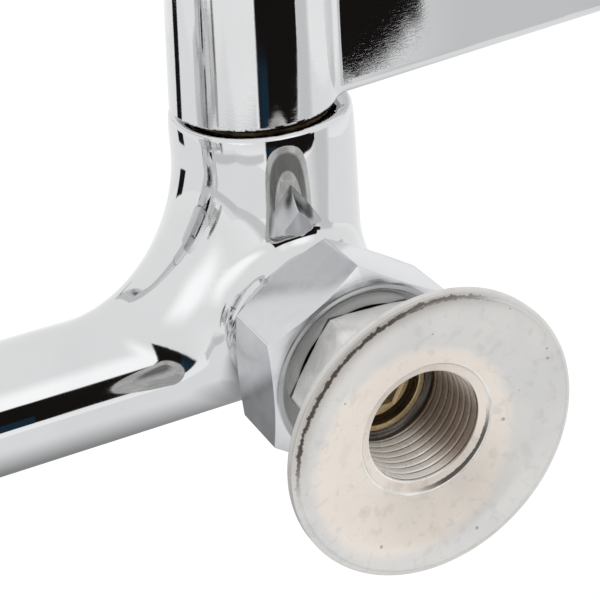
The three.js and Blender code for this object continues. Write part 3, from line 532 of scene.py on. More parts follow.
# %% Side mask
def make_side_mask():
    """How far a place lies on one side of an axis: 1 in that direction, 0 across, -1 opposite."""
    tree, given, out = new_group(
        "side_mask",
        {"Place": ("Vector", (0, 0, 0)), "Centre": ("Vector", (0, 0, 0)),
         "Direction": ("Vector", (-0.7, 0, 0.7))},
        {"Side": "Float"},
    )
    parts = add(tree, "ShaderNodeSeparateXYZ")
    tree.links.new(given["Place"], parts.inputs[0])
    flat = add(tree, "ShaderNodeCombineXYZ")
    tree.links.new(math_node(tree, "ABSOLUTE", parts.outputs[0]), flat.inputs[0])
    tree.links.new(parts.outputs[2], flat.inputs[2])
    spoke = vector_node(tree, "SUBTRACT", flat.outputs[0], given["Centre"]).outputs[0]
    spoke = vector_node(tree, "MULTIPLY", spoke, (1, 0, 1)).outputs[0]
    unit = vector_node(tree, "NORMALIZE", spoke).outputs[0]
    side = vector_node(tree, "DOT_PRODUCT", unit, given["Direction"]).outputs["Value"]
    tree.links.new(side, out["Side"])
    return tree


# %% Thread phase
def make_thread_phase():
    """Where a place lies in a thread's pitch. Groove is 1 along the helical groove's bottom. Both
    inlets have the same hand, so x keeps its sign here and only the centre is mirrored."""
    tree, given, out = new_group(
        "thread_phase",
        {"Place": ("Vector", (0, 0, 0)), "Centre": ("Vector", (0, 0, 0)),
         "Start": ("Float", 0.0), "Pitch": ("Float", 0.002)},
        {"Groove": "Float"},
    )
    place, centre = (add(tree, "ShaderNodeSeparateXYZ") for _ in range(2))
    tree.links.new(given["Place"], place.inputs[0])
    tree.links.new(given["Centre"], centre.inputs[0])
    end = math_node(tree, "MULTIPLY", math_node(tree, "SIGN", place.outputs[0]), centre.outputs[0])
    off = math_node(tree, "SUBTRACT", end, place.outputs[0])
    turn = math_node(tree, "DIVIDE", math_node(tree, "ARCTAN2", place.outputs[2], off), 2 * math.pi)
    along = math_node(tree, "SUBTRACT", place.outputs[1], centre.outputs[1])
    depth = math_node(tree, "SUBTRACT", given["Start"], along)
    phase = math_node(tree, "ADD", math_node(tree, "DIVIDE", depth, given["Pitch"]), turn)
    saw = math_node(tree, "PINGPONG", phase, 0.5)
    tree.links.new(range_node(tree, saw, 0.075, 0.035), out["Groove"])
    return tree


TURNING_MARKS = make_turning_marks()
DRAWN_LINES = make_drawn_lines()
SPECKS = make_specks()
CLOUDS = make_clouds()
SIDE_MASK = make_side_mask()
THREAD_PHASE = make_thread_phase()
print("groups:", [g.name for g in bpy.data.node_groups])

# %% [markdown]
# ## Finishes
#
# Each finish is one material with the shader itself in it. A small kit class saves writing out
# the same wires again: it places a group, mixes colours by a mask and feeds the bump. The
# finished materials are kept by name, and every piece takes its own from there.

# %% A finish to build on
BUMP_DISTANCE = 0.1 * MM
FINISHES = {}


class Finish:
    """A material with one Principled shader and the object's own coordinates."""

    def __init__(self, name, colour, metallic, roughness):
        self.name = name
        self.material = bpy.data.materials.new(name)
        self.material.use_nodes = True
        self.material.diffuse_color = (*colour, 1)
        self.tree = self.material.node_tree
        self.shader = self.tree.nodes["Principled BSDF"]
        self.place = add(self.tree, "ShaderNodeTexCoord").outputs["Object"]
        self.set("Base Color", (*colour, 1))
        self.set("Metallic", metallic)
        self.set("Roughness", roughness)
        self.colour = (*colour, 1)
        self.height = None

    def set(self, key, value):
        """Sets a shader input to a number, or links it to a socket."""
        feed(self.tree, self.shader.inputs[key], value)

    def group(self, tree, **values):
        """Places a shared group on the object's coordinates. Underscores stand for spaces."""
        node = add(self.tree, "ShaderNodeGroup", node_tree=tree)
        self.tree.links.new(self.place, node.inputs["Place"])
        for key, value in values.items():
            node.inputs[key.replace("_", " ")].default_value = value
        return node.outputs

    def tint(self, mask, colour):
        """Lays a colour over what is there, by a mask."""
        mix = add(self.tree, "ShaderNodeMix", data_type="RGBA")
        self.tree.links.new(mask, mix.inputs["Factor"])
        feed(self.tree, mix.inputs["A"], self.colour)
        mix.inputs["B"].default_value = (*colour, 1)
        self.colour = mix.outputs["Result"]
        self.set("Base Color", self.colour)

    def raise_by(self, value, depth):
        """Adds a height, in metres for a value of one."""
        height = self.times(value, depth / BUMP_DISTANCE)
        self.height = height if self.height is None else self.math("ADD", self.height, height)

    def finish(self):
        """Feeds the heights to the shader's normal and keeps the material under its name."""
        if self.height is not None:
            bump = add(self.tree, "ShaderNodeBump")
            bump.inputs["Strength"].default_value = 1.0
            bump.inputs["Distance"].default_value = BUMP_DISTANCE
            self.tree.links.new(self.height, bump.inputs["Height"])
            self.set("Normal", bump.outputs["Normal"])
        FINISHES[self.name] = self.material

    def math(self, operation, *values):
        """One step of arithmetic."""
        return math_node(self.tree, operation, *values)

    def times(self, first, second):
        """The product of two masks, or of a mask and a number."""
        return math_node(self.tree, "MULTIPLY", first, second)

    def ramp(self, value, *limits):
        """The smooth rise of a value between two limits: 0 to 1, or between two more numbers."""
        return range_node(self.tree, value, *limits)

    def scaled(self, mask, low, high):
        """A 0..1 mask stretched to low..high."""
        return range_node(self.tree, mask, 0.0, 1.0, low, high)

    def noise(self, *settings):
        """Noise on the object's coordinates."""
        return noise_node(self.tree, self.place, *settings)


# %% [markdown]
# Chrome: a thin, hard, bluish plate over a polished casting. What gives it away as real is that
# the polish isn't perfect: the surface rolls very slightly, so straight reflections waver, and
# faint mop lines show where a reflection is dark. The roll is a height of about a micron over
# some millimetres.

# %% Polished chrome
def make_chrome(name, ripple):
    """Mirror plate with a slight roll, mop lines and a few dull patches. ripple is the depth of
    the mop lines, which are left deeper on the levers' broad sides."""
    chrome = Finish(name, (0.69, 0.695, 0.70), 1.0, 0.04)
    patches = chrome.group(CLOUDS, Patches_Per_Metre=45.0, Low=0.42, High=0.75)["Tone"]
    lines = chrome.group(DRAWN_LINES, Across=(700.0, 700.0, 2600.0), Bend=1.5)
    chrome.tint(patches, (0.665, 0.67, 0.675))
    dull = chrome.scaled(patches, 0.025, 0.06)
    chrome.set("Roughness", dull)
    roll = chrome.noise(110.0, 1.5, 0.4)
    chrome.raise_by(roll, 0.010 * MM)
    chrome.raise_by(lines["Lines"], ripple)
    chrome.finish()


# %% [markdown]
# The union nuts are plated like the casting but never polished, so they keep the marks of the
# mill on the flats and of the lathe on the ring, and reflect only soft light and dark.

# %% Satin plating
INLET_CENTRE = (HUB_X, HUB_Y, 0.0)
NUT_REAR = 37.9 * MM
NUT_RING = 17.7 * MM
CUT_SPACING = 0.42 * MM


def make_satin():
    """Dull plate over milled flats and turned faces. The turned ring at the rear is the darkest, as
    painted shade.
    """
    satin = Finish("satin_plating", (0.62, 0.63, 0.645), 1.0, 0.2)
    turned = satin.group(TURNING_MARKS, Centre=INLET_CENTRE, Axis=(0, 1, 0),
                         Rings_Per_Metre=3800.0, Unevenness=0.8)
    tone = satin.group(CLOUDS, Patches_Per_Metre=110.0, Low=0.3, High=0.7)["Tone"]
    milled = satin.group(DRAWN_LINES, Across=(2600.0, 700.0, 2600.0), Bend=1.2)
    specks = satin.group(SPECKS, Cells_Per_Metre=900.0, Share=0.08)["Mask"]
    satin.tint(tone, (0.69, 0.70, 0.72))
    at_rear = satin.ramp(turned["Along"], NUT_REAR - 0.3 * MM, NUT_REAR)
    near_hole = satin.ramp(turned["Radius"], NUT_RING + 0.2 * MM, NUT_RING - 0.3 * MM)
    # Painted shade: the turned ring at the rear, round the hole, is darkened.
    ring = satin.times(at_rear, near_hole)
    satin.tint(ring, (0.36, 0.365, 0.365))
    satin.tint(satin.times(specks, 0.5), (0.3, 0.3, 0.31))
    satin.set("Roughness", satin.scaled(tone, 0.16, 0.25))
    satin.raise_by(turned["Marks"], 0.007 * MM)
    satin.raise_by(milled["Lines"], 0.004 * MM)
    cuts = satin.math("SINE", satin.times(turned["Radius"], 2 * math.pi / CUT_SPACING))
    on_chamfer = satin.ramp(turned["Radius"], NUT_RING + 0.4 * MM, NUT_RING + 0.9 * MM)
    satin.raise_by(satin.times(cuts, satin.times(on_chamfer, at_rear)), 0.016 * MM)
    satin.finish()


# %% [markdown]
# The flange is cast, turned on its rear face and nickel plated. Its plate is warm and dull near
# the mouth, where it was machined last, and cooler outside. Specks and short scratches show that
# it was handled, and a dark line runs along the nicked rear edge.
#
# A finish finds its place by the same radii and stations that the flange's profile is drawn with
# further down. Stations are measured from the valve's axis, towards the wall.

# %% Dull nickel
FLANGE_RADIUS = 27.0 * MM
WARM_RADIUS = 19.4 * MM
LAND_RADIUS = 24.4 * MM
CREASE_RADIUS = 26.0 * MM
LIP_RADIUS = 12.25 * MM
WALL = -HUB_Y
PITCH = 25.4 / 14 * MM
MOUTH_Y = WALL - 4.4 * MM
THREAD_END = 43.3 * MM
DARK_BROWN = (0.06, 0.045, 0.035)


def make_nickel():
    """Pale warm nickel: cream inside the machined disc, speckled, dark in the nicked rear edge.
    The plating is so fine-grained that half of the light comes back from it as from chalk."""
    nickel = Finish("dull_nickel", (0.75, 0.735, 0.71), 0.42, 0.42)
    turned = nickel.group(TURNING_MARKS, Centre=INLET_CENTRE, Axis=(0, 1, 0),
                          Rings_Per_Metre=2600.0, Unevenness=1.0)
    off_centre = (HUB_X - 3.6 * MM, HUB_Y, -2.4 * MM)
    disc_radius = nickel.group(TURNING_MARKS, Centre=off_centre, Axis=(0, 1, 0))["Radius"]
    upper = nickel.group(SIDE_MASK, Centre=INLET_CENTRE, Direction=(-0.57, 0, 0.82))["Side"]
    tone = nickel.group(CLOUDS, Patches_Per_Metre=75.0, Low=0.3, High=0.72)["Tone"]
    blotch = nickel.group(CLOUDS, Patches_Per_Metre=420.0, Low=0.52, High=0.66)["Tone"]
    specks = nickel.group(SPECKS, Cells_Per_Metre=420.0, Share=0.2)["Mask"]
    dust = nickel.group(SPECKS, Cells_Per_Metre=1700.0, Share=0.28)["Mask"]
    lines = nickel.group(DRAWN_LINES, Across=(900.0, 900.0, 250.0), Bend=2.0)
    border = nickel.noise(200.0, 4.0, 0.6)
    wander = nickel.math("MULTIPLY_ADD", border, 3.0 * MM, -1.5 * MM)
    reach = nickel.math("ADD", disc_radius, wander)
    warm = nickel.ramp(reach, WARM_RADIUS + 1.5 * MM, WARM_RADIUS - 1.3 * MM)
    land = nickel.ramp(turned["Radius"], LAND_RADIUS - 1.2 * MM, LAND_RADIUS + 1.6 * MM)
    on_rear = nickel.ramp(turned["Along"], WALL - 1.2 * MM, WALL - 0.6 * MM)
    nickel.tint(tone, (0.705, 0.70, 0.69))
    nickel.tint(warm, (0.87, 0.80, 0.725))
    shade = nickel.ramp(upper, 0.3, 0.95, 0.0, 0.6)
    nickel.tint(nickel.times(nickel.times(land, on_rear), shade), (0.47, 0.42, 0.375))
    nickel.tint(nickel.times(blotch, 0.3), (0.56, 0.53, 0.50))
    nickel.tint(nickel.times(specks, 0.75), (0.33, 0.30, 0.27))
    nickel.tint(nickel.times(dust, 0.7), (0.46, 0.44, 0.41))
    nickel.tint(nickel.times(lines["Deep Lines"], 0.1), (0.46, 0.44, 0.42))
    add_dark_lines(nickel, turned, on_rear, upper)
    nickel.set("Roughness", nickel.scaled(tone, 0.36, 0.48))
    nickel.raise_by(turned["Marks"], 0.006 * MM)
    nickel.raise_by(lines["Lines"], 0.003 * MM)
    nickel.raise_by(tone, 0.008 * MM)
    nickel.finish()


def add_dark_lines(nickel, turned, on_rear, upper):
    """A dark line in the crease behind the rim, strongest in the upper half, and a dark crescent on
    the lip of the mouth, on its lower side. Noise moves both lines in and out, so that they look
    nicked."""
    lower = nickel.group(SIDE_MASK, Centre=INLET_CENTRE, Direction=(0.66, 0, -0.75))["Side"]
    nick = nickel.noise(1000.0, 3.0, 0.75)
    drift = nickel.noise(45.0, 1.0)
    ragged = nickel.math("MULTIPLY_ADD", nick, 1.5 * MM, -0.75 * MM)
    ragged = nickel.math("ADD", ragged, nickel.math("MULTIPLY_ADD", drift, 1.2 * MM, -0.6 * MM))
    edge = nickel.math("ADD", turned["Radius"], ragged)
    past = nickel.ramp(edge, CREASE_RADIUS - 0.48 * MM, CREASE_RADIUS - 0.22 * MM)
    before = nickel.ramp(edge, CREASE_RADIUS + 0.40 * MM, CREASE_RADIUS + 0.2 * MM)
    crease = nickel.times(nickel.times(past, before), on_rear)
    strong = nickel.ramp(upper, 0.42, 0.78, 0.06, 0.96)
    strong = nickel.times(strong, nickel.ramp(drift, 0.35, 0.5, 0.75, 1.0))
    nickel.tint(nickel.times(crease, strong), DARK_BROWN)
    mouth = nickel.math("ADD", turned["Radius"], nickel.times(ragged, 0.3))
    lip_in = nickel.ramp(mouth, LIP_RADIUS - 0.42 * MM, LIP_RADIUS - 0.26 * MM)
    lip_out = nickel.ramp(mouth, LIP_RADIUS + 0.42 * MM, LIP_RADIUS + 0.26 * MM)
    lip = nickel.times(lip_in, lip_out)
    there = nickel.ramp(lower, 0.55, 0.92, 0.0, 0.92)
    nickel.tint(nickel.times(lip, there), DARK_BROWN)


# %% [markdown]
# The rest are simpler. The bore is plated like the flange, with painted shade in its thread, and
# a painted highlight and a painted dark reflection in two sectors. Plate between parts is
# darkened as painted shade, and bare brass shows where nothing was plated.

# %% Nickel in the bore
def make_bore_nickel():
    """The same plate inside the pipe thread: brighter, warmer and freshly cut. The thread's groove
    and the far end of the bore are darkened as painted shade, one sector is darkened to brown as a
    painted dark reflection, and another is made paler as a painted highlight."""
    bright = Finish("bore_nickel", (0.86, 0.77, 0.69), 0.25, 0.26)
    tone = bright.group(CLOUDS, Patches_Per_Metre=240.0, Low=0.35, High=0.7)["Tone"]
    turned = bright.group(TURNING_MARKS, Centre=INLET_CENTRE, Axis=(0, 1, 0),
                          Rings_Per_Metre=5200.0, Unevenness=0.6)
    # Painted dark reflection: one sector of the bore, streaked along the turning marks, is darkened
    # to brown.
    sector = bright.group(SIDE_MASK, Centre=INLET_CENTRE, Direction=(0.92, 0, -0.38))["Side"]
    streak = bright.math("MULTIPLY_ADD", turned["Marks"], 0.22, sector)
    dark_sector_reflection = bright.ramp(streak, 0.62, 0.98, 0.0, 0.9)
    # Painted highlight: another sector of the bore is made paler.
    lit_sector_highlight = bright.group(SIDE_MASK, Centre=INLET_CENTRE, Direction=(-0.62, 0, -0.78))["Side"]
    bright.tint(tone, (0.78, 0.70, 0.63))
    bright.tint(bright.ramp(lit_sector_highlight, 0.1, 0.8), (0.98, 0.95, 0.91))
    bright.tint(dark_sector_reflection, (0.25, 0.19, 0.15))
    # Painted shade: the thread's groove and the far end of the bore are darkened.
    groove = bright.group(THREAD_PHASE, Centre=INLET_CENTRE, Start=MOUTH_Y, Pitch=PITCH)["Groove"]
    bright.tint(bright.times(groove, 0.95), (0.06, 0.04, 0.03))
    bore_end_shade = bright.ramp(turned["Along"], THREAD_END + 1.5 * MM, THREAD_END + 1.1 * MM)
    bright.tint(bright.times(bore_end_shade, 0.9), (0.05, 0.038, 0.025))
    bright.set("Roughness", bright.scaled(tone, 0.24, 0.36))
    bright.raise_by(turned["Marks"], 0.010 * MM)
    bright.finish()


# %% Plate in the shade
OFF_HEX = (15.7 * MM, 16.3 * MM)


def make_shaded(name, colour, roughness, metallic=1.0, inner=None):
    """Plate between parts, with grime in patches. The dark colours that it is given are painted
    shade.
    inner is (radius, colour) for painted shade above the inlet's axis, between the wrench hexagon
    and that radius."""
    shaded = Finish(name, colour, metallic, roughness)
    tone = shaded.group(CLOUDS, Patches_Per_Metre=180.0, Low=0.35, High=0.7)["Tone"]
    shaded.tint(tone, tuple(c * 0.7 for c in colour))
    shaded.set("Roughness", shaded.scaled(tone, roughness * 0.8, roughness * 1.3))
    turned = shaded.group(TURNING_MARKS, Centre=INLET_CENTRE, Axis=(0, 1, 0),
                          Rings_Per_Metre=4200.0, Unevenness=0.6)
    marks = turned["Marks"]
    if inner is not None:
        # Painted shade: above the inlet's axis, between the wrench hexagon and the given radius, the
        # plate is darkened.
        reach, shade_colour = inner
        above = shaded.group(SIDE_MASK, Centre=INLET_CENTRE, Direction=(0, 0, 1))["Side"]
        within = shaded.ramp(turned["Radius"], reach + MM, reach - MM)
        off_hex = shaded.ramp(turned["Radius"], *OFF_HEX)
        within = shaded.times(within, off_hex)
        high = shaded.ramp(above, -0.1, 0.4, 0.0, 0.9)
        shaded.tint(shaded.times(within, high), shade_colour)
        marks = shaded.times(marks, off_hex)
    shaded.raise_by(marks, 0.005 * MM)
    shaded.finish()


# %% Brass
def make_brass(name, centre, axis, shadows=()):
    """Bare turned brass with tool rings, slightly darker where it has begun to tarnish. shadows
    are the (radius, half width) of inner corners that are darkened as painted shade."""
    brass = Finish(name, (0.90, 0.72, 0.45), 0.55, 0.24)
    turned = brass.group(TURNING_MARKS, Centre=centre, Axis=axis, Rings_Per_Metre=5200.0,
                         Unevenness=0.5)
    tone = brass.group(CLOUDS, Patches_Per_Metre=150.0, Low=0.35, High=0.7)["Tone"]
    brass.tint(tone, (0.68, 0.50, 0.26))
    # Painted shade: a dark ring in each inner corner.
    for radius, width in shadows:
        nearer = brass.ramp(turned["Radius"], radius - width, radius - width * 0.7)
        further = brass.ramp(turned["Radius"], radius + width, radius + width * 0.7)
        brass.tint(brass.times(nearer, further), (0.07, 0.048, 0.022))
    brass.set("Roughness", brass.scaled(tone, 0.2, 0.34))
    brass.raise_by(turned["Marks"], 0.01 * MM)
    brass.finish()


# %% Finishes of the small pieces
def make_moulded(name, colour, deep, roughness, grain=1400.0, height=0.004):
    """A moulded or cut non-metal: fine grain, soft tone and a few specks."""
    made = Finish(name, colour, 0.0, roughness)
    tone = made.group(CLOUDS, Patches_Per_Metre=130.0, Low=0.3, High=0.7)["Tone"]
    specks = made.group(SPECKS, Cells_Per_Metre=grain, Share=0.15)["Mask"]
    made.tint(tone, deep)
    made.tint(made.times(specks, 0.3), tuple(c * 0.7 for c in deep))
    made.set("Roughness", made.scaled(tone, roughness * 0.85, min(roughness * 1.2, 1.0)))
    fine = made.noise(grain, 3.0, 0.6)
    made.raise_by(fine, height * MM)
    made.finish()


def make_stainless():
    """Plain stainless steel with drawn lines."""
    steel = Finish("stainless", (0.62, 0.62, 0.61), 1.0, 0.25)
    lines = steel.group(DRAWN_LINES, Across=(400.0, 400.0, 7000.0), Bend=0.5)
    tone = steel.group(CLOUDS, Patches_Per_Metre=200.0)["Tone"]
    steel.tint(tone, (0.55, 0.55, 0.545))
    steel.set("Roughness", steel.scaled(tone, 0.2, 0.32))
    steel.raise_by(lines["Lines"], 0.004 * MM)
    steel.finish()


# %% All finishes
FRONT_SHADE = (22.0 * MM, (0.16, 0.155, 0.15))
TAIL_CORNERS = ((7.35 * MM, 0.6 * MM), (9.15 * MM, 0.35 * MM))

make_chrome("polished_chrome", 0.00025 * MM)
make_chrome("lever_chrome", 0.0035 * MM)
make_satin()
make_nickel()
make_bore_nickel()
# Painted shade: the front of the flange is darkened above the axis, and the two near-black finishes
# below stand for places between parts.
make_shaded("front_nickel", (0.92, 0.91, 0.895), 0.3, 0.3, FRONT_SHADE)
make_shaded("shaded_plate", (0.12, 0.12, 0.12), 0.3)
make_shaded("painted_shade_brass", (0.10, 0.075, 0.045), 0.45)
make_brass("inlet_brass", INLET_CENTRE, (0, 1, 0), TAIL_CORNERS)
make_brass("brass", (HUB_X, HUB_Y, 0.0), (0, 0, 1))
make_stainless()
make_moulded("ceramic", (0.86, 0.85, 0.81), (0.80, 0.79, 0.75), 0.2, 2600.0, 0.001)
make_moulded("rubber", (0.03, 0.03, 0.03), (0.045, 0.045, 0.043), 0.7)
make_moulded("fibre", (0.42, 0.12, 0.08), (0.30, 0.07, 0.05), 0.8, 1800.0, 0.02)
make_moulded("white_plastic", (0.8, 0.8, 0.77), (0.74, 0.74, 0.70), 0.4)
make_moulded("hot_plastic", (0.55, 0.03, 0.04), (0.45, 0.02, 0.03), 0.3)
make_moulded("cold_plastic", (0.03, 0.13, 0.45), (0.02, 0.09, 0.36), 0.3)
print("finishes:", len(FINISHES), sorted(FINISHES))


# %% Put a finished piece in its place
def place_piece(piece, body, slot, nodes, finish=None):
    """Gives the piece the finish named, or else the one its slot names, puts it under its body and
    hides the solids that it stands for.
    """
    piece.data.materials.clear()
    piece.data.materials.append(FINISHES[finish or slot])
    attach(piece, body)
    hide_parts(*nodes)
    print(piece.name, len(piece.data.vertices), "points")


# %% [markdown]
# ## The casting
#
# One bronze casting holds the two valve hubs, the arm between them and the centre hub. The valve
# hub is a plain post, drawn in a little under its rim, and ends in a round floor. The arm is a rod
# that leaves it low down. The hollow between them is large on top, where the pattern maker left
# room for a hand, smaller at the sides and tight below. So the fillet's radius changes with the
# angle round the arm.

# %% The casting as a field
HUB_RADIUS = 17.4 * MM
HUB_CROWN = 0.5 * MM
CROWN_REACH = 2.0 * MM
HUB_POWER = 2.07
HUB_SHIFT = Vector((-0.22, -0.46)) * MM
HUB_RIM_ROUND = 0.9 * MM
ARM_RADIUS = 12.3 * MM
ARM_DROP = 7.7 * MM
FILLET_ABOVE = 28.8 * MM
FILLET_BESIDE = 13.0 * MM
FILLET_BELOW = 4.0 * MM
FILLET_ROOT = 7.8 * MM
RISE_POWER = 3.2
FALL_POWER = 1.2
BLEND_START = -2.7 * MM
BLEND_LENGTH = 9.7 * MM
CENTRE_HUB_RADIUS = 15.5 * MM
CENTRE_FILLET = 10.0 * MM
BOSS_RADIUS = 16.9 * MM
BOSS_REACH = 21.4 * MM
BOSS_FILLET = 4.0 * MM
SHANK_RADIUS = 16.1 * MM
SHANK_END = 30.0 * MM
CENTRE_TOP = 28.0 * MM
THREAD_RADIUS = 13.9 * MM
THREAD_LOW = 16.2 * MM


def casting(x, y, z):
    """Distance to the casting's skin. inward runs from the valve axis to the faucet's middle, and
    back from it to the wall. lift is 1 on top of the arm, 0 beside it and -1 below it."""
    inward, back = HUB_X - np.abs(x), y - HUB_Y
    off_x, off_y = np.abs(inward - HUB_SHIFT.x), np.abs(back - HUB_SHIFT.y)
    radial = (off_x ** HUB_POWER + off_y ** HUB_POWER) ** (1 / HUB_POWER)
    crown = HUB_CROWN * np.exp(-np.maximum(HUB_TOP - z, 0) / CROWN_REACH)
    wall, floor = radial - (HUB_RADIUS - crown), np.hypot(radial, z) - HUB_RADIUS
    hub = common(np.where(z > 0, wall, floor), z - HUB_TOP, HUB_RIM_ROUND)

    height = z + ARM_DROP
    arm_line = np.hypot(back, height)
    arm = np.where(inward > 0, arm_line, np.hypot(arm_line, inward)) - ARM_RADIUS
    lift = height / np.maximum(arm_line, NO_LENGTH)
    fillet = (FILLET_BESIDE + (FILLET_ABOVE - FILLET_BESIDE) * np.clip(lift, 0, 1) ** RISE_POWER
              + (FILLET_BELOW - FILLET_BESIDE) * np.clip(-lift, 0, 1) ** FALL_POWER)
    grown = ease((inward - BLEND_START) / BLEND_LENGTH)
    shape = joined(hub, arm, FILLET_ROOT + (fillet - FILLET_ROOT) * grown)

    centre = np.hypot(x, back)
    post = bore(centre, CENTRE_HUB_RADIUS, z, -ARM_DROP, THREAD_LOW)
    shape = joined(shape, post, CENTRE_FILLET)
    shape = np.minimum(shape, bore(centre, THREAD_RADIUS, z, -ARM_DROP, CENTRE_TOP))

    inlet = np.hypot(inward, z)
    boss = np.maximum(inlet - BOSS_RADIUS, slab(back, 0, BOSS_REACH))
    shape = joined(shape, boss, BOSS_FILLET)
    return np.minimum(shape, bore(inlet, SHANK_RADIUS, back, 0, SHANK_END))


# %% [markdown]
# The water passages are cut out of the casting, so the skin is that of the real hollow part.

# %% Passages
OPEN_END = 60.0 * MM
CHAMBER_RADIUS = 11.0 * MM
CHAMBER_FLOOR = -7.4 * MM
BONNET_RADIUS = 13.6 * MM
BONNET_SEAT = 30.0 * MM
PORT_RADIUS = 4.8 * MM
PORT_DEPTH = 13.3 * MM
INLET_BORE = 6.4 * MM
INLET_BORE_END = 40.0 * MM
GALLERY_RADIUS = 4.2 * MM
GALLERY_END = 19.0 * MM
ARM_BORE = 7.0 * MM
ARM_BORE_START = 18.0 * MM
SPOUT_WELL = 11.2 * MM


def hollow_casting(x, y, z):
    """The casting with its chambers, ports and bores."""
    inward, back = HUB_X - np.abs(x), y - HUB_Y
    radial, centre = np.hypot(inward, back), np.hypot(x, back)
    shape = casting(x, y, z)
    inlet, arm = np.hypot(inward, z), np.hypot(back, z + ARM_DROP)
    gallery = np.hypot(back, z + PORT_DEPTH)
    for passage in (
        bore(radial, CHAMBER_RADIUS, z, CHAMBER_FLOOR, OPEN_END),
        bore(radial, BONNET_RADIUS, z, BONNET_SEAT, OPEN_END),
        bore(radial, PORT_RADIUS, z, -PORT_DEPTH, 0),
        bore(inlet, INLET_BORE, back, 0, INLET_BORE_END),
        bore(gallery, GALLERY_RADIUS, inward, 0, GALLERY_END),
        bore(arm, ARM_BORE, inward, ARM_BORE_START, 2 * HUB_X),
        bore(centre, SPOUT_WELL, z, -ARM_DROP, OPEN_END),
    ):
        shape = without(shape, passage)
    return shape


# %% [markdown]
# The grid is closer where the casting is sharp: at the rear boss and at the hub's rim.

# %% Skin of the casting
COARSE = 1.1 * MM
CLOSE = 0.45 * MM
MARGIN = 2.0 * MM
CASTING_FRONT = HUB_Y - 22.0 * MM
CASTING_FLOOR = -22.0 * MM
BOSS_START = HUB_Y + 13.0 * MM
RIM_START = 35.0 * MM

half_length = HUB_X + HUB_RADIUS + MARGIN
body_grid = (
    line_of((-half_length, half_length, COARSE)),
    line_of((CASTING_FRONT, BOSS_START, COARSE),
            (BOSS_START, HUB_Y + SHANK_END + MARGIN, CLOSE)),
    line_of((CASTING_FLOOR, RIM_START, COARSE), (RIM_START, HUB_TOP + MARGIN, CLOSE)),
)
points, faces, normals = skin_of(hollow_casting, body_grid)
casting_piece = mesh_object("faucet_casting", points, faces, normals.reshape(-1, 3))
place_piece(casting_piece, "body", "polished_chrome", ["faucet_body"])

# %% [markdown]
# ## The lever handles
#
# Each handle is one chromed casting: a skirt over the valve hub and a tall, narrow blade whose
# lower edge climbs gently. It is a field too, because the blade's edges are rounded and it meets
# the skirt in a small fillet. The right handle is the mirror image of the left.

# %% A lever handle as a field
SKIRT_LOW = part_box("lever_handle_left")[0].z
HANDLE_TOP = SKIRT_LOW + 34.0 * MM
SKIRT_RADIUS = 15.75 * MM
SKIRT_TAPER = 0.022
SKIRT_LEAN = 1.15 * MM
LEAN_REACH = 28.0 * MM
SKIRT_EDGE = 0.4 * MM
HANDLE_EDGE = 3.0 * MM
LEVER_LENGTH = 100.0 * MM
LEVER_ROOT_HEIGHT = 27.0 * MM
LEVER_TIP_HEIGHT = 10.0 * MM
LEVER_RISE = math.tan(math.radians(2.4))
LEVER_LEVEL = 12.0 * MM
LEVER_THICKNESS = 19.5 * MM
LEVER_TIP_SHARE = 0.72
LEVER_ROUND = 2.4 * MM
LEVER_FILLET = 1.2 * MM
LEVER_BOW_SHARE = 0.45
LEVER_BOW = 1.0 * MM
SKIRT_HOLLOW = 13.5 * MM
SOCKET_RADIUS = 7.4 * MM
SOCKET_LOW = 47.5 * MM
SOCKET_TOP = 59.3 * MM
STEM_HOLE = 4.3 * MM
SCREW_HOLE = 1.9 * MM
HEAD_RADIUS = 4.7 * MM
HEAD_SEAT = 62.9 * MM
BUTTON_WELL = 8.3 * MM
BUTTON_WELL_DEPTH = 4.4 * MM
ABOVE_ALL = 90.0 * MM
TIP_CORE = LEVER_TIP_HEIGHT / 2 - LEVER_ROUND


def lever_side_view(out, z):
    """Distance to the blade's outline, drawn in by its edge rounding. out runs along the blade."""
    tip = LEVER_LENGTH - LEVER_ROUND - TIP_CORE
    tip_low = SKIRT_LOW + LEVER_ROUND + LEVER_RISE * (LEVER_LENGTH - LEVER_LEVEL)
    tip_high = tip_low + 2 * TIP_CORE
    root_high = SKIRT_LOW + LEVER_ROOT_HEIGHT - LEVER_ROUND
    climb = np.clip((out - LEVER_LEVEL) / (tip - LEVER_LEVEL), 0, 1)
    low = SKIRT_LOW + LEVER_ROUND + (tip_low - SKIRT_LOW - LEVER_ROUND) * climb
    # The upper edge is a curve from the root to the tip that one point between them pulls up.
    # s is how far along the curve a place is.
    share = np.clip(out / tip, 0, 1)
    bow = 1 - 2 * LEVER_BOW_SHARE
    s = (np.sqrt(LEVER_BOW_SHARE ** 2 + bow * share) - LEVER_BOW_SHARE) / bow
    high = s ** 2 * tip_high + 2 * s * (1 - s) * (tip_high + LEVER_BOW) + (1 - s) ** 2 * root_high
    level = np.maximum(low - z, z - high)
    end = np.hypot(out - tip, z - (tip_low + tip_high) / 2) - TIP_CORE
    return np.where(out > tip, end, np.maximum(level, -out))


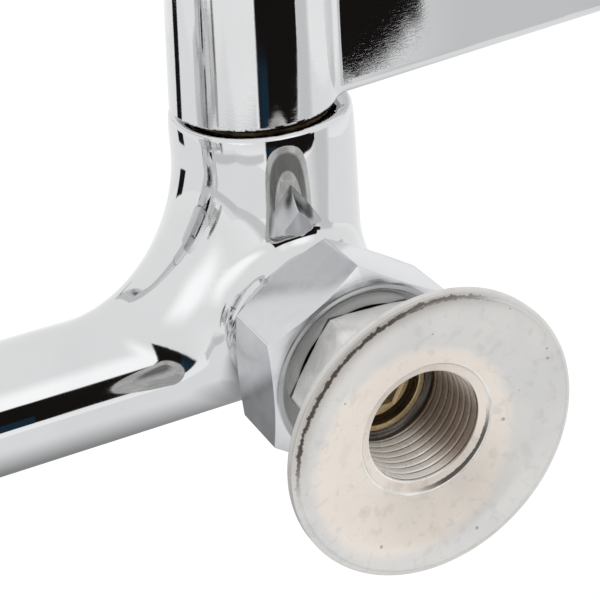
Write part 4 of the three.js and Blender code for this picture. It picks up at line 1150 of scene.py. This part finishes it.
def lever_handle(x, y, z):
    """Distance to the left handle's skin, with the hollow for stem, screw and button."""
    out, across = -HUB_X - x, y - HUB_Y
    radial = np.hypot(out, across)
    lean = SKIRT_LEAN * np.clip(1 - (z - SKIRT_LOW) / LEAN_REACH, 0, 1)
    cone = np.hypot(out + lean, across) - (SKIRT_RADIUS - SKIRT_TAPER * (z - SKIRT_LOW))
    skirt = common(cone, SKIRT_LOW - z, SKIRT_EDGE)
    skirt = common(skirt, z - HANDLE_TOP, HANDLE_EDGE)
    thin = 1 - (1 - LEVER_TIP_SHARE) * np.clip(out / LEVER_LENGTH, 0, 1)
    flat = np.abs(across) - (LEVER_THICKNESS / 2 * thin - LEVER_ROUND)
    view = lever_side_view(out, z)
    edge = np.hypot(np.maximum(view, 0), np.maximum(flat, 0))
    blade = np.minimum(np.maximum(view, flat), 0) + edge - LEVER_ROUND
    shape = joined(skirt, blade, LEVER_FILLET)
    socket = bore(radial, SOCKET_RADIUS, z, SOCKET_LOW, ABOVE_ALL)
    for hole in (
        without(bore(radial, SKIRT_HOLLOW, z, 0, SOCKET_TOP - 2 * MM), socket),
        bore(radial, STEM_HOLE, z, 0, SOCKET_TOP),
        bore(radial, SCREW_HOLE, z, 0, SOCKET_TOP + 5 * MM),
        bore(radial, HEAD_RADIUS, z, HEAD_SEAT, ABOVE_ALL),
        bore(radial, BUTTON_WELL, z, HANDLE_TOP - BUTTON_WELL_DEPTH, ABOVE_ALL),
    ):
        shape = without(shape, hole)
    return shape


# %% Skins of the handles
FINE = 0.85 * MM
HALF_WIDTH = 18.2 * MM

handle_grid = (
    line_of((-HUB_X - LEVER_LENGTH - MARGIN, -HUB_X + 18 * MM, FINE)),
    line_of((HUB_Y - HALF_WIDTH, HUB_Y + HALF_WIDTH, FINE)),
    line_of((SKIRT_LOW - 1 * MM, SKIRT_LOW + 2 * MM, CLOSE),
            (SKIRT_LOW + 2 * MM, HANDLE_TOP - 4 * MM, FINE),
            (HANDLE_TOP - 4 * MM, HANDLE_TOP + 1 * MM, CLOSE)),
)
points, faces, normals = skin_of(lever_handle, handle_grid)
MIRROR = np.array([-1.0, 1.0, 1.0])
for side, sign in SIDES.items():
    skin = points, faces, normals
    if sign > 0:
        skin = points * MIRROR, faces[:, ::-1], normals[:, ::-1] * MIRROR
    handle = mesh_object(f"lever_casting_{side}", skin[0], skin[1], skin[2].reshape(-1, 3))
    place_piece(handle, f"{side}_lever", "polished_chrome", [f"lever_handle_{side}"],
                "lever_chrome")

# %% [markdown]
# ## Hexagons and turned pieces of the inlet
#
# The union nut is a hexagon bar, faced and chamfered on a lathe. At every angle its profile is
# the same, except where the flat lies: so the flat's distance goes into the profile, and the
# scalloped borders between chamfer and flat come out by themselves. The rear face is a rounded
# ring with a fine groove at its foot.

# %% Coupling nuts
NUT_FRONT = 21.6 * MM
NUT_FLATS = 36.6 * MM
NUT_CORNER = math.radians(29)
NUT_FRONT_LAND = NUT_FLATS / 2 - 0.2 * MM
NUT_REAR_LAND = NUT_FLATS / 2 - 0.5 * MM
NUT_FRONT_SLOPE = 0.57
NUT_REAR_SLOPE = 0.55
NUT_THREAD = 16.4 * MM
NUT_HOLE = 13.5 * MM
NUT_LIP_FRONT = 35.3 * MM
NUT_BULGE = 0.55 * MM
BAR_SHARP = 28


def nut_profile(angle):
    """Closed profile of the coupling nut at one angle, from its thread outwards."""
    side = hex_radius(angle, NUT_FLATS, NUT_CORNER)
    front = min(side, NUT_FRONT_LAND)
    rear = min(side, NUT_REAR_LAND)
    front_edge = NUT_FRONT + (side - front) * NUT_FRONT_SLOPE
    rear_edge = NUT_REAR - (side - rear) * NUT_REAR_SLOPE
    bulge = NUT_REAR + NUT_BULGE
    middle = (NUT_REAR_LAND + NUT_HOLE) / 2
    return soften([
        # The front face, the flat or corner, and the chamfer behind it.
        (NUT_THREAD, NUT_FRONT, 0.0),
        (front, NUT_FRONT, 0.12 * MM),
        (side, front_edge, 0.12 * MM),
        (side, rear_edge, 0.12 * MM),
        (rear, NUT_REAR - 0.12 * MM, 0.05 * MM),
        # The groove at the foot of the rear ring, the rounded ring and the hole.
        (rear - 0.25 * MM, NUT_REAR - 0.05 * MM, 0.05 * MM),
        (rear - 0.9 * MM, bulge - 0.15 * MM, 0.5 * MM),
        (middle, bulge, 1.2 * MM),
        (NUT_HOLE + 0.5 * MM, bulge - 0.25 * MM, 0.4 * MM),
        (NUT_HOLE, NUT_REAR - 0.2 * MM, 0.2 * MM),
        # The lip's inner side, and back along the thread.
        (NUT_HOLE, NUT_LIP_FRONT, 0.0),
        (NUT_THREAD, NUT_LIP_FRONT, 0.0),
    ])


for side, sign in SIDES.items():
    nut = spin(f"union_nut_{side}", nut_profile, (sign * HUB_X, HUB_Y, 0), "Y", 288,
               NUT_CORNER, ring=True, sharp=BAR_SHARP, hexagon=True)
    place_piece(nut, "body", "satin_plating", [f"coupling_nut_{side}"])

# %% [markdown]
# The flange is one skin too: rim, rear face, the mouth with its chamfer, the pipe thread, the
# spigot's bore and the wrench hexagon in front. A thread is a profile that slides along the axis
# by one pitch a turn, so the same function draws it, with a ridge whose place depends on angle.

# %% Inlet flanges
THREAD_DEPTH = 0.22 * MM
THREAD_STEPS = 12
PIPE_TAPER = 1 / 32
MOUTH_RADIUS = 10.6 * MM
SPIGOT_BORE = 9.5 * MM
FLANGE_HEX = 27.0 * MM
FLANGE_HEX_CORNER = math.radians(57)
FLANGE_HEX_FRONT = 38.25 * MM
GROOVE_SHARE = 0.13
LEAST_CHAMFER = 0.03 * MM


def ridge(phase):
    """Height of the thread, 0 to 1: a broad flat crest with a narrow rounded groove."""
    off = ((phase + 0.5) % 1.0 - 0.5) / GROOVE_SHARE
    return 1 - math.exp(-off * off)


def pipe_thread(angle):
    """Points down the tapered, helically threaded bore, from the mouth inwards."""
    points = []
    depth = MOUTH_Y - THREAD_END
    count = round(depth / PITCH * THREAD_STEPS)
    for i in range(1, count):
        y = MOUTH_Y - depth * i / count
        wall = MOUTH_RADIUS - (MOUTH_Y - y) * PIPE_TAPER
        lead = min(1.0, i / THREAD_STEPS, (count - i) / THREAD_STEPS)
        crest = ridge((MOUTH_Y - y) / PITCH + angle / (2 * math.pi))
        points.append((wall - THREAD_DEPTH * crest * lead, y))
    return points


def flange_profile(angle):
    """Closed profile of the inlet flange at one angle, from the hexagon's front to its bore. The
    hexagon's chamfer never goes to nothing, and two points near the ends of each flat keep it
    straight: otherwise the flats' long faces would be shaded by their neighbours."""
    side = hex_radius(angle, FLANGE_HEX, FLANGE_HEX_CORNER)
    chamfer = max(LEAST_CHAMFER, side - FLANGE_HEX / 2 - 0.7 * MM)
    hex_start = FLANGE_HEX_FRONT + chamfer * 0.4
    outer = soften([
        # The wrench hexagon.
        (SPIGOT_BORE, FLANGE_HEX_FRONT, 0.0),
        (side - chamfer, FLANGE_HEX_FRONT, 0.15 * MM),
        (side, hex_start, 0.15 * MM),
        (side, hex_start + 0.4 * MM, 0.0),
        (side, WALL - 8.6 * MM, 0.0),
        # The cone behind it, and the front of the round plate.
        (side, WALL - 7.9 * MM, 0.5 * MM),
        (15.9 * MM, WALL - 7.4 * MM, 1.0 * MM),
        (20.8 * MM, WALL - 3.9 * MM, 0.5 * MM),
        (21.6 * MM, WALL - 2.75 * MM, 0.5 * MM),
        (FLANGE_RADIUS - 0.5 * MM, WALL - 2.45 * MM, 0.4 * MM),
        # The rim and the crease behind it.
        (FLANGE_RADIUS, WALL - 2.1 * MM, 0.4 * MM),
        (FLANGE_RADIUS, WALL - 0.45 * MM, 0.15 * MM),
        (CREASE_RADIUS + 0.25 * MM, WALL - 0.14 * MM, 0.1 * MM),
        (CREASE_RADIUS, WALL - 0.22 * MM, 0.05 * MM),
        (CREASE_RADIUS - 0.2 * MM, WALL - 0.05 * MM, 0.1 * MM),
        # The rear face, which is dished, and the step of the mouth.
        (CREASE_RADIUS - 1.2 * MM, WALL, 0.6 * MM),
        (22.0 * MM, WALL - 0.2 * MM, 2.5 * MM),
        (12.6 * MM, WALL - 3.1 * MM, 0.5 * MM),
        (12.3 * MM, WALL - 3.45 * MM, 0.1 * MM),
        (MOUTH_RADIUS + 0.25 * MM, MOUTH_Y + 0.15 * MM, 0.3 * MM),
        (MOUTH_RADIUS, MOUTH_Y, 0.0),
    ])
    inner = [(SPIGOT_BORE + 0.4 * MM, THREAD_END), (SPIGOT_BORE, THREAD_END - 0.4 * MM)]
    return np.concatenate([outer, pipe_thread(angle), inner])


def finish_where(piece, finish, test):
    """Gives a second finish to the faces whose (radius, along) passes the test."""
    piece.data.materials.append(FINISHES[finish])
    index = len(piece.data.materials) - 1
    for face in piece.data.polygons:
        centre = face.center
        radius = math.hypot(abs(centre.x) - HUB_X, centre.z)
        if test(radius, centre.y - HUB_Y):
            face.material_index = index


def in_bore(radius, along):
    """Whether a place is in the threaded bore."""
    return radius < MOUTH_RADIUS + 0.2 * MM and along > THREAD_END - MM


def in_front(radius, along):
    """Whether a place is on the front of the flange, with its hexagon."""
    return radius > 12.5 * MM and along < WALL - 2.3 * MM


for side, sign in SIDES.items():
    flange = spin(f"pipe_flange_{side}", flange_profile, (sign * HUB_X, HUB_Y, 0), "Y", 180,
                  FLANGE_HEX_CORNER, ring=True, sharp=BAR_SHARP, hexagon=True)
    place_piece(flange, "body", "dull_nickel", [f"inlet_flange_{side}"])
    finish_where(flange, "bore_nickel", in_bore)
    finish_where(flange, "front_nickel", in_front)

# %% [markdown]
# Deep in the bore sits the end of the brass tailpiece, which was tightened with a hexagon key:
# two turned steps and a six-sided hole.

# %% Union tailpieces
COLLAR_FRONT = 32.6 * MM
COLLAR_REAR = 35.0 * MM
COLLAR_RADIUS = 15.8 * MM
NECK_SHOULDER = 38.6 * MM
TAIL_NECK_RADIUS = 13.1 * MM
SPIGOT_RADIUS = 9.2 * MM
SPIGOT_END = 43.0 * MM
STEP_RADIUS = 7.7 * MM
STEP_DEPTH = 1.8 * MM
KEY_FLATS = 11.0 * MM


def tailpiece_profile(angle):
    """Closed profile of the tailpiece at one angle, from the key hole's front outwards."""
    key = hex_radius(angle, KEY_FLATS)
    step_floor = SPIGOT_END - STEP_DEPTH
    return soften([
        (key, COLLAR_FRONT, 0.0),
        (COLLAR_RADIUS, COLLAR_FRONT, 0.2 * MM),
        (COLLAR_RADIUS, COLLAR_REAR, 0.2 * MM),
        (TAIL_NECK_RADIUS, COLLAR_REAR, 0.1 * MM),
        (TAIL_NECK_RADIUS, NECK_SHOULDER, 0.3 * MM),
        (SPIGOT_RADIUS, NECK_SHOULDER, 0.1 * MM),
        (SPIGOT_RADIUS, SPIGOT_END, 0.35 * MM),
        (STEP_RADIUS + 0.25 * MM, SPIGOT_END, 0.1 * MM),
        (STEP_RADIUS, SPIGOT_END - 0.25 * MM, 0.1 * MM),
        (STEP_RADIUS, step_floor, 0.15 * MM),
        (key + 0.5 * MM, step_floor, 0.1 * MM),
        (key, step_floor - 0.5 * MM, 0.1 * MM),
    ])


for side, sign in SIDES.items():
    tail = spin(f"brass_tailpiece_{side}", tailpiece_profile, (sign * HUB_X, HUB_Y, 0), "Y", 144,
                ring=True)
    place_piece(tail, "body", "brass", [f"union_tailpiece_{side}"], "inlet_brass")
    # Painted shade: the neck outside the spigot gets the near-black plate, for the shade between the
    # nut and the flange.
    finish_where(tail, "shaded_plate", lambda radius, along: radius > SPIGOT_RADIUS + 0.05 * MM)

# %% [markdown]
# ## The swing spout
#
# A chromed brass tube rises from the centre hub, bends forward, climbs gently and turns down at
# its end. It was bent on a mandrel, so it stays round: straight stretches and two arcs are enough.
# The photograph doesn't show the spout, so it is the usual one of such faucets.

# %% The tube's centre line
TUBE_RADIUS = 9.5 * MM
TUBE_BORE = 8.1 * MM
SPOUT_REACH = 304.8 * MM
SPOUT_RISE = 106.0 * MM
SPOUT_PITCH = math.radians(7)
TOP_BEND = 38.0 * MM
END_BEND = 30.0 * MM
OUTLET_DROP = 10.0 * MM
TUBE_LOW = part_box("spout_tube")[0].z


def spout_line():
    """Places (forward, up) and headings along the tube."""
    places = [(0.0, TUBE_LOW, math.pi / 2)]

    def straight(length, steps):
        for _ in range(steps):
            forward, up, turn_now = places[-1]
            places.append((forward + length / steps * math.cos(turn_now),
                           up + length / steps * math.sin(turn_now), turn_now))

    def bend(radius, angle, steps):
        forward, up, turn_now = places[-1]
        centre_f, centre_u = forward + radius * math.sin(turn_now), up - radius * math.cos(turn_now)
        for i in range(1, steps + 1):
            now = turn_now - angle * i / steps
            places.append((centre_f - radius * math.sin(now), centre_u + radius * math.cos(now), now))

    top_reach = TOP_BEND * (1 - math.sin(SPOUT_PITCH))
    end_reach = END_BEND * (1 + math.sin(SPOUT_PITCH))
    run = (SPOUT_REACH - top_reach - end_reach) / math.cos(SPOUT_PITCH)
    straight(SPOUT_RISE - TOP_BEND * math.cos(SPOUT_PITCH) - TUBE_LOW, 8)
    bend(TOP_BEND, math.pi / 2 - SPOUT_PITCH, 28)
    straight(run, 20)
    bend(END_BEND, math.pi / 2 + SPOUT_PITCH, 30)
    straight(OUTLET_DROP, 3)
    return places


def sweep(name, line, outer, inner, columns=56):
    """A tube along the line, open at both ends, with a wall between outer and inner radius."""
    points, faces = [], []
    stations = [(p, outer) for p in line] + [(p, inner) for p in reversed(line)]
    for (forward, up, heading), radius in stations:
        for i in range(columns):
            angle = 2 * math.pi * i / columns
            lift = radius * math.sin(angle)
            points.append((radius * math.cos(angle), HUB_Y - forward + lift * math.sin(heading),
                           up + lift * math.cos(heading)))
    rings = len(stations)
    for k in range(rings):
        n = (k + 1) % rings
        for i in range(columns):
            j = (i + 1) % columns
            faces.append((k * columns + i, k * columns + j, n * columns + j, n * columns + i))
    piece = mesh_object(name, points, faces)
    tidy_skin(piece)
    return piece


line = spout_line()
tube = sweep("spout_pipe", line, TUBE_RADIUS, TUBE_BORE)
place_piece(tube, "spout", "polished_chrome", ["spout_tube"])
OUTLET = Vector((0.0, HUB_Y - line[-1][0], line[-1][1]))
print("outlet at", [round(c / MM, 1) for c in OUTLET], "mm")

# %% [markdown]
# The swivel nut clamps the spout to the centre hub. Above it stands the swivel's neck, which the
# tube is soldered into, and at the outlet is the aerator with its fluted shell and plastic screen.

# %% Swivel nut
SWIVEL_FLATS = 37.0 * MM
SWIVEL_CORNER = math.radians(30)
SWIVEL_CHAMFER = 0.5
SPOUT_CENTRE = (0.0, HUB_Y, 0.0)
nut_low, nut_high = (corner.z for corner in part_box("swivel_nut"))


def swivel_profile(angle):
    """Closed profile of the swivel nut at one angle."""
    side = hex_radius(angle, SWIVEL_FLATS, SWIVEL_CORNER)
    land = SWIVEL_FLATS / 2
    drop = (side - land) * SWIVEL_CHAMFER + 0.02 * MM
    return soften([
        (14.2 * MM, nut_low, 0.1 * MM),
        (land, nut_low, 0.2 * MM),
        (side, nut_low + drop, 0.2 * MM),
        (side, nut_high - drop, 0.2 * MM),
        (land, nut_high, 0.2 * MM),
        (11.9 * MM, nut_high, 0.3 * MM),
        (11.9 * MM, nut_high - 2.6 * MM, 0.0),
        (14.2 * MM, nut_high - 2.6 * MM, 0.0),
        (14.2 * MM, nut_low, 0.0),
    ])


swivel = spin("swivel_clamp_nut", swivel_profile, SPOUT_CENTRE, "Z", 216, SWIVEL_CORNER, ring=True)
place_piece(swivel, "body", "polished_chrome", ["swivel_nut"])

# %% Swivel neck
spud_low, spud_high = (corner.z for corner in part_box("swivel_spud"))


def neck_profile(_):
    """Closed profile of the swivel's spud: O-ring grooves below, flange, neck and socket. It is
    the same at every angle."""
    out, groove, flange, neck = 10.9 * MM, 9.3 * MM, 13.6 * MM, 11.6 * MM
    inside, socket = 7.4 * MM, 9.8 * MM
    profile = [(inside, spud_low, 0.0), (out, spud_low, 0.4 * MM)]
    for height in (6 * MM, 14 * MM):
        low, high = spud_low + height - 0.95 * MM, spud_low + height + 0.95 * MM
        profile += [(out, low, 0.1 * MM), (groove, low, 0.1 * MM), (groove, high, 0.1 * MM),
                    (out, high, 0.1 * MM)]
    flange_low, flange_high = 29.8 * MM, 31.8 * MM
    profile += [
        (out, flange_low, 0.1 * MM), (flange, flange_low, 0.2 * MM),
        (flange, flange_high, 0.2 * MM), (neck, flange_high, 0.1 * MM),
        (neck, spud_high - 2.2 * MM, 0.3 * MM), (neck - 0.35 * MM, spud_high - 1.9 * MM, 0.2 * MM),
        (neck - 0.35 * MM, spud_high - 1.5 * MM, 0.2 * MM), (neck, spud_high - 1.2 * MM, 0.3 * MM),
        (neck, spud_high, 0.6 * MM), (socket, spud_high, 0.2 * MM),
        (socket, spud_high - 11 * MM, 0.0), (inside, spud_high - 11 * MM, 0.0),
        (inside, spud_low, 0.0),
    ]
    return soften(profile)


neck = spin("swivel_neck", neck_profile, SPOUT_CENTRE, "Z", 96, ring=True)
place_piece(neck, "spout", "brass", ["swivel_spud"], "polished_chrome")

# %% Aerator
aerator_low, aerator_high = (corner.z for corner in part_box("aerator_shell"))
AERATOR_CENTRE = (0.0, OUTLET.y, 0.0)
FLUTES = 36


def aerator_profile(angle):
    """Closed profile of the aerator's shell. Flutes round its middle give a grip."""
    outer, inside, lip = 11.8 * MM, 9.8 * MM, 7.5 * MM
    flute = 0.28 * MM * (0.5 - 0.5 * math.cos(FLUTES * angle)) ** 0.6
    return soften([
        (inside, aerator_high, 0.0),
        (outer - 0.5 * MM, aerator_high, 0.2 * MM),
        (outer, aerator_high - 0.5 * MM, 0.2 * MM),
        (outer, aerator_high - 2.6 * MM, 0.2 * MM),
        (outer - flute, aerator_high - 3.1 * MM, 0.2 * MM),
        (outer - flute, aerator_low + 3.9 * MM, 0.2 * MM),
        (outer, aerator_low + 3.4 * MM, 0.2 * MM),
        (outer, aerator_low + 1.0 * MM, 0.4 * MM),
        (outer - 1.0 * MM, aerator_low, 0.4 * MM),
        (lip, aerator_low, 0.3 * MM),
        (lip, aerator_low + 1.5 * MM, 0.0),
        (inside, aerator_low + 1.5 * MM, 0.0),
        (inside, aerator_high, 0.0),
    ])


shell = spin("aerator_sleeve", aerator_profile, AERATOR_CENTRE, "Z", 288, ring=True)
place_piece(shell, "spout", "polished_chrome", ["aerator_shell"])

# %% [markdown]
# ## Index buttons
#
# A plain coloured cap closes the top of each handle: red for hot on the left, blue for cold on
# the right. It is bare, with a low dome and a fine rim.

# %% Index buttons
BUTTON_RADIUS = 8.0 * MM
button_low, button_high = (corner.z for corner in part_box("index_button_left"))


def button_profile(_):
    """Profile of the cap from its underside to the middle of its dome, at every angle."""
    rim = HANDLE_TOP - 0.1 * MM
    dome = [(BUTTON_RADIUS * math.cos(t) * 0.93, rim + (button_high - rim) * math.sin(t))
            for t in np.linspace(0.15, math.pi / 2 - 0.02, 12)]
    edge = [(0.0, button_low), (BUTTON_RADIUS, button_low), (BUTTON_RADIUS, rim - 0.3 * MM),
            (BUTTON_RADIUS - 0.1 * MM, rim - 0.08 * MM), (BUTTON_RADIUS - 0.35 * MM, rim)]
    return np.array(edge + dome + [(0.0, button_high)])


for side, sign in SIDES.items():
    slot = "hot_plastic" if sign < 0 else "cold_plastic"
    cap = spin(f"index_cap_{side}", button_profile, (sign * HUB_X, HUB_Y, 0), "Z", 72)
    place_piece(cap, f"{side}_lever", slot, [f"index_button_{side}"])

# %% [markdown]
# ## Solids that stay
#
# Washers, discs, seals, stems and screws are right as they are, and mostly hidden. Each keeps
# its solid and gets the finish that its slot in the record names. Only the brass that can be seen
# in the gap under a handle is darker than new brass: its near-black colour is painted shade.

# %% Finishes of the remaining solids
IN_THE_GAP = ("bonnet_nut", "cartridge_housing")

slot_of = {part["node"]: part["material_slot"] for part in frame["record"]["subparts"]}
kept = 0
for name, node in frame["nodes"].items():
    if node.hide_render:
        continue
    node.data.materials.clear()
    # Painted shade: the brass in the gap under a handle gets a near-black finish.
    finish = "painted_shade_brass" if name.startswith(IN_THE_GAP) else slot_of[name]
    node.data.materials.append(FINISHES[finish])
    kept += 1
print("solids kept:", kept)

# %% [markdown]
# ## The studio
#
# The faucet hangs over a wide pale floor. The light is the same from everywhere, with one lamp
# above the camera that lights it but isn't seen in the chrome. Chrome would look like plain
# white paper in such a room, so a photographer stands dark cards round it, out of the picture:
# they are what draws the black bands. Here the cards are seen by reflections alone.

# %% Floor
FLOOR_Z = -150.0 * MM
FLOOR_RADIUS = 4.0
FLOOR_TONE = 0.74
FLOOR_GLOW = 0.42


def disc(name, radius, height, rings=6, columns=64):
    """A flat round floor made of rings of faces."""
    points, faces = [(0.0, 0.0, height)], []
    for k in range(1, rings + 1):
        reach = radius * (k / rings) ** 2
        for i in range(columns):
            angle = 2 * math.pi * i / columns
            points.append((reach * math.cos(angle), reach * math.sin(angle), height))
    for i in range(columns):
        j = (i + 1) % columns
        faces.append((0, 1 + i, 1 + j))
        for k in range(rings - 1):
            a = 1 + k * columns
            faces.append((a + i, a + columns + i, a + columns + j, a + j))
    return mesh_object(name, points, faces)


def rays_that_show(tree):
    """1 for rays that come from the camera, a mirror or glass, and 0 for the light's own."""
    path = add(tree, "ShaderNodeLightPath").outputs
    either = math_node(tree, "MAXIMUM", path["Is Camera Ray"], path["Is Glossy Ray"])
    return math_node(tree, "MAXIMUM", either, path["Is Transmission Ray"])


def make_floor_material():
    """Pale matt floor. A small glow brings it up to white and leaves the shadow on it."""
    material = bpy.data.materials.new("studio_floor")
    material.use_nodes = True
    tree = material.node_tree
    shader = tree.nodes["Principled BSDF"]
    shader.inputs["Base Color"].default_value = (FLOOR_TONE, FLOOR_TONE, FLOOR_TONE, 1)
    shader.inputs["Roughness"].default_value = 0.9
    shader.inputs["Specular IOR Level"].default_value = 0.0
    shader.inputs["Emission Color"].default_value = (1, 1, 1, 1)
    glow = math_node(tree, "MULTIPLY", rays_that_show(tree), FLOOR_GLOW)
    tree.links.new(glow, shader.inputs["Emission Strength"])
    return material


floor = disc("studio_floor", FLOOR_RADIUS, FLOOR_Z)
floor.data.materials.append(make_floor_material())
print("floor", round(-FLOOR_Z / MM), "mm below the inlets' axes")

# %% World
WORLD_LIGHT = 0.8

world = bpy.data.worlds.new("studio")
world.use_nodes = True
bpy.context.scene.world = world
backdrop = world.node_tree.nodes["Background"]
backdrop.inputs["Color"].default_value = (1, 1, 1, 1)
shown = rays_that_show(world.node_tree)
level = math_node(world.node_tree, "MULTIPLY_ADD", shown, 1.0 - WORLD_LIGHT, WORLD_LIGHT)
world.node_tree.links.new(level, backdrop.inputs["Strength"])
print("world: white where it is seen, and lights with", WORLD_LIGHT)

# %% [markdown]
# ### Cards
#
# A card is one face with an even tone, where 0 is black and 1 is as white as the room. Each edge
# dies away over a share of the card, and may be torn. The black cards lean towards red and the
# strip before them towards blue, which shows in the chrome as tinted borders.

# %% Lamp and cards
GREY = (0.995, 1.0, 1.005)
EVERY_EDGE_HARD = (0, 0, 0, 0)


def soft_box(name, place, target, width, height, radiance):
    """A rectangular lamp whose face has this brightness, where 1 is white."""
    lamp = bpy.data.lights.new(name, "AREA")
    lamp.shape = "RECTANGLE"
    lamp.size, lamp.size_y = width, height
    lamp.energy = radiance * math.pi * width * height
    holder = bpy.data.objects.new(name, lamp)
    holder.location = place
    holder.rotation_mode = "QUATERNION"
    holder.rotation_quaternion = (Vector(target) - Vector(place)).to_track_quat("-Z", "Y")
    holder.visible_camera = False
    bpy.context.scene.collection.objects.link(holder)
    return holder


def make_card_material(name, tone, tint, soft, ragged, fade):
    """Matt card of one tone. soft gives the share of the card that its left, right, low and high
    edges take to die away, and ragged how far they wander. fade is (centre, near, far, tone at
    the far end) for a tone that changes with the distance from a place."""
    material = bpy.data.materials.new(name)
    material.use_nodes = True
    tree = material.node_tree
    tree.nodes.remove(tree.nodes["Principled BSDF"])
    glow = add(tree, "ShaderNodeEmission")
    glow.inputs["Color"].default_value = (*tint, 1)
    glow.inputs["Strength"].default_value = tone
    places = add(tree, "ShaderNodeTexCoord").outputs
    if fade is not None:
        centre, near, far, outer = fade
        spoke = vector_node(tree, "SUBTRACT", places["Object"], centre).outputs[0]
        reach = vector_node(tree, "LENGTH", spoke).outputs["Value"]
        tree.links.new(range_node(tree, reach, near, far, tone, outer), glow.inputs["Strength"])
    across = add(tree, "ShaderNodeSeparateXYZ")
    tree.links.new(places["UV"], across.inputs[0])
    rough = noise_node(tree, places["Object"], 55.0, 6.0, 0.7)
    wander = math_node(tree, "MULTIPLY_ADD", rough, ragged, -ragged / 2)
    share = None
    for value, low, high in ((across.outputs[0], soft[0], soft[1]),
                             (across.outputs[1], soft[2], soft[3])):
        moved = math_node(tree, "ADD", value, wander)
        for start, end in ((0.0, low), (1.0, 1.0 - high)):
            if start == end:
                continue
            rise = range_node(tree, moved, start, end)
            share = rise if share is None else math_node(tree, "MULTIPLY", share, rise)
    surface = glow.outputs[0]
    if share is not None:
        mix = add(tree, "ShaderNodeMixShader")
        tree.links.new(share, mix.inputs[0])
        tree.links.new(add(tree, "ShaderNodeBsdfTransparent").outputs[0], mix.inputs[1])
        tree.links.new(surface, mix.inputs[2])
        surface = mix.outputs[0]
    tree.links.new(surface, tree.nodes["Material Output"].inputs["Surface"])
    return material


def card(name, corners, tone, tint=GREY, soft=EVERY_EDGE_HARD, ragged=0.0, fade=None):
    """A four-cornered card that only reflections see. Its corners run round from low left."""
    piece = mesh_object(name, corners, [(0, 1, 2, 3)])
    edges = piece.data.uv_layers.new(name="edges").data
    for corner, place in zip(edges, ((0, 0), (1, 0), (1, 1), (0, 1))):
        corner.uv = place
    piece.data.materials.append(make_card_material(name, tone, tint, soft, ragged, fade))
    for rays in ("camera", "diffuse", "shadow", "transmission", "volume_scatter"):
        setattr(piece, f"visible_{rays}", False)
    return piece


def upright(start, end, low, high):
    """Corners of a card that stands between two places on the floor plan."""
    return [(*start, low), (*end, low), (*end, high), (*start, high)]


def lying(left, right, front, back, height):
    """Corners of a card that lies flat."""
    return [(left, front, height), (right, front, height), (right, back, height),
            (left, back, height)]


def facing(target, azimuth, elevation, distance, width, height):
    """Corners of a card that faces a place, seen from it at these angles in degrees."""
    az, el = math.radians(azimuth), math.radians(elevation)
    out = Vector((math.sin(az) * math.cos(el), math.cos(az) * math.cos(el), math.sin(el)))
    right = Vector((-math.cos(az), math.sin(az), 0)) * (width / 2)
    up = Vector((-math.sin(az) * math.sin(el), -math.cos(az) * math.sin(el), math.cos(el)))
    centre, up = Vector(target) + out * distance, up * (height / 2)
    return [centre - right - up, centre + right - up, centre + right + up, centre - right + up]


# %% [markdown]
# Black cards stand across from the photographed hub, on the camera's side: a wide one that makes
# the black shape on the hub, a torn strip at its outer end for the blade, and a blue strip before
# its inner edge. A grey card carries on past them. One more black card stands low in front of the
# faucet, towards the other inlet. Two low grey cards stand on the floor, round the camera's left.
# Two white ones are a little brighter than the room: one hangs above and one stands at the side.
# Last, a card on the floor makes it darker under the faucet in the chrome than in the picture.

# %% The studio's cards
WHITE = (1.0, 1.0, 1.0)
WARM_BLACK = (1.3, 1.05, 1.0)
BLUE = (0.4, 1.0, 1.7)
CARD_Y = 127.5 * MM
COAT_Y = CARD_Y - 0.001
SIDE_Y = CARD_Y + 0.002
LOW_CORNER = (0.307, 0.204)

key = soft_box("key_box", (-0.22, 0.45, 0.52), (-0.1, -0.06, 0.0), 0.60, 0.42, 1.6)
key.visible_glossy = False
cards = [
    card("sky_card", facing((-0.05, -0.06, 0.0), -18, 40, 0.40, 0.34, 0.28), 1.32, WHITE,
         soft=(0.4, 0.4, 0.12, 0.55)),
    card("camera_card", upright((-0.035, CARD_Y), (-0.228, CARD_Y), -0.040, 0.090), 0.008,
         WARM_BLACK, soft=(0.03, 0.02, 0.03, 0.08), ragged=0.06),
    card("blade_card", [(-0.222, CARD_Y, -0.041), (-0.247, CARD_Y, -0.028),
                        (-0.250, CARD_Y, 0.030), (-0.222, CARD_Y, 0.030)], 0.008,
         WARM_BLACK, soft=(0.0, 0.06, 0.06, 0.1), ragged=0.5),
    card("coat_card", upright((-0.030, COAT_Y), (-0.083, COAT_Y), -0.040, 0.004), 0.03, BLUE,
         soft=(0.6, 0.0, 0.06, 0.2), ragged=0.06),
    card("side_card", upright((-0.190, SIDE_Y), (-0.46, SIDE_Y), -0.13, 0.05), 0.74,
         soft=(0.3, 0.4, 0.1, 0.35)),
    card("far_card", upright((0.252, -0.416), (0.160, -0.487), -0.148, -0.056), 0.01,
         soft=(0.1, 0.1, 0.05, 0.1), ragged=0.05),
    card("low_card_near", upright((0.066, 0.396), LOW_CORNER, -0.149, -0.096), 0.76,
         soft=(0.08, 0.0, 0.2, 0.4)),
    card("low_card_side", upright(LOW_CORNER, (0.383, -0.102), -0.149, -0.096), 0.72,
         soft=(0.0, 0.35, 0.2, 0.4)),
    card("front_box", upright((0.090, 0.30), (0.297, 0.072), -0.014, 0.165), 1.34, WHITE,
         soft=(0.4, 0.4, 0.35, 0.5)),
    card("shadow_card", lying(-0.6, 0.6, -0.7, 0.35, FLOOR_Z + 0.001), 0.27,
         fade=((-0.03, -0.20, FLOOR_Z), 0.07, 0.30, 0.97)),
]
bpy.context.scene.view_settings.view_transform = "Standard"
print("cards:", len(cards))
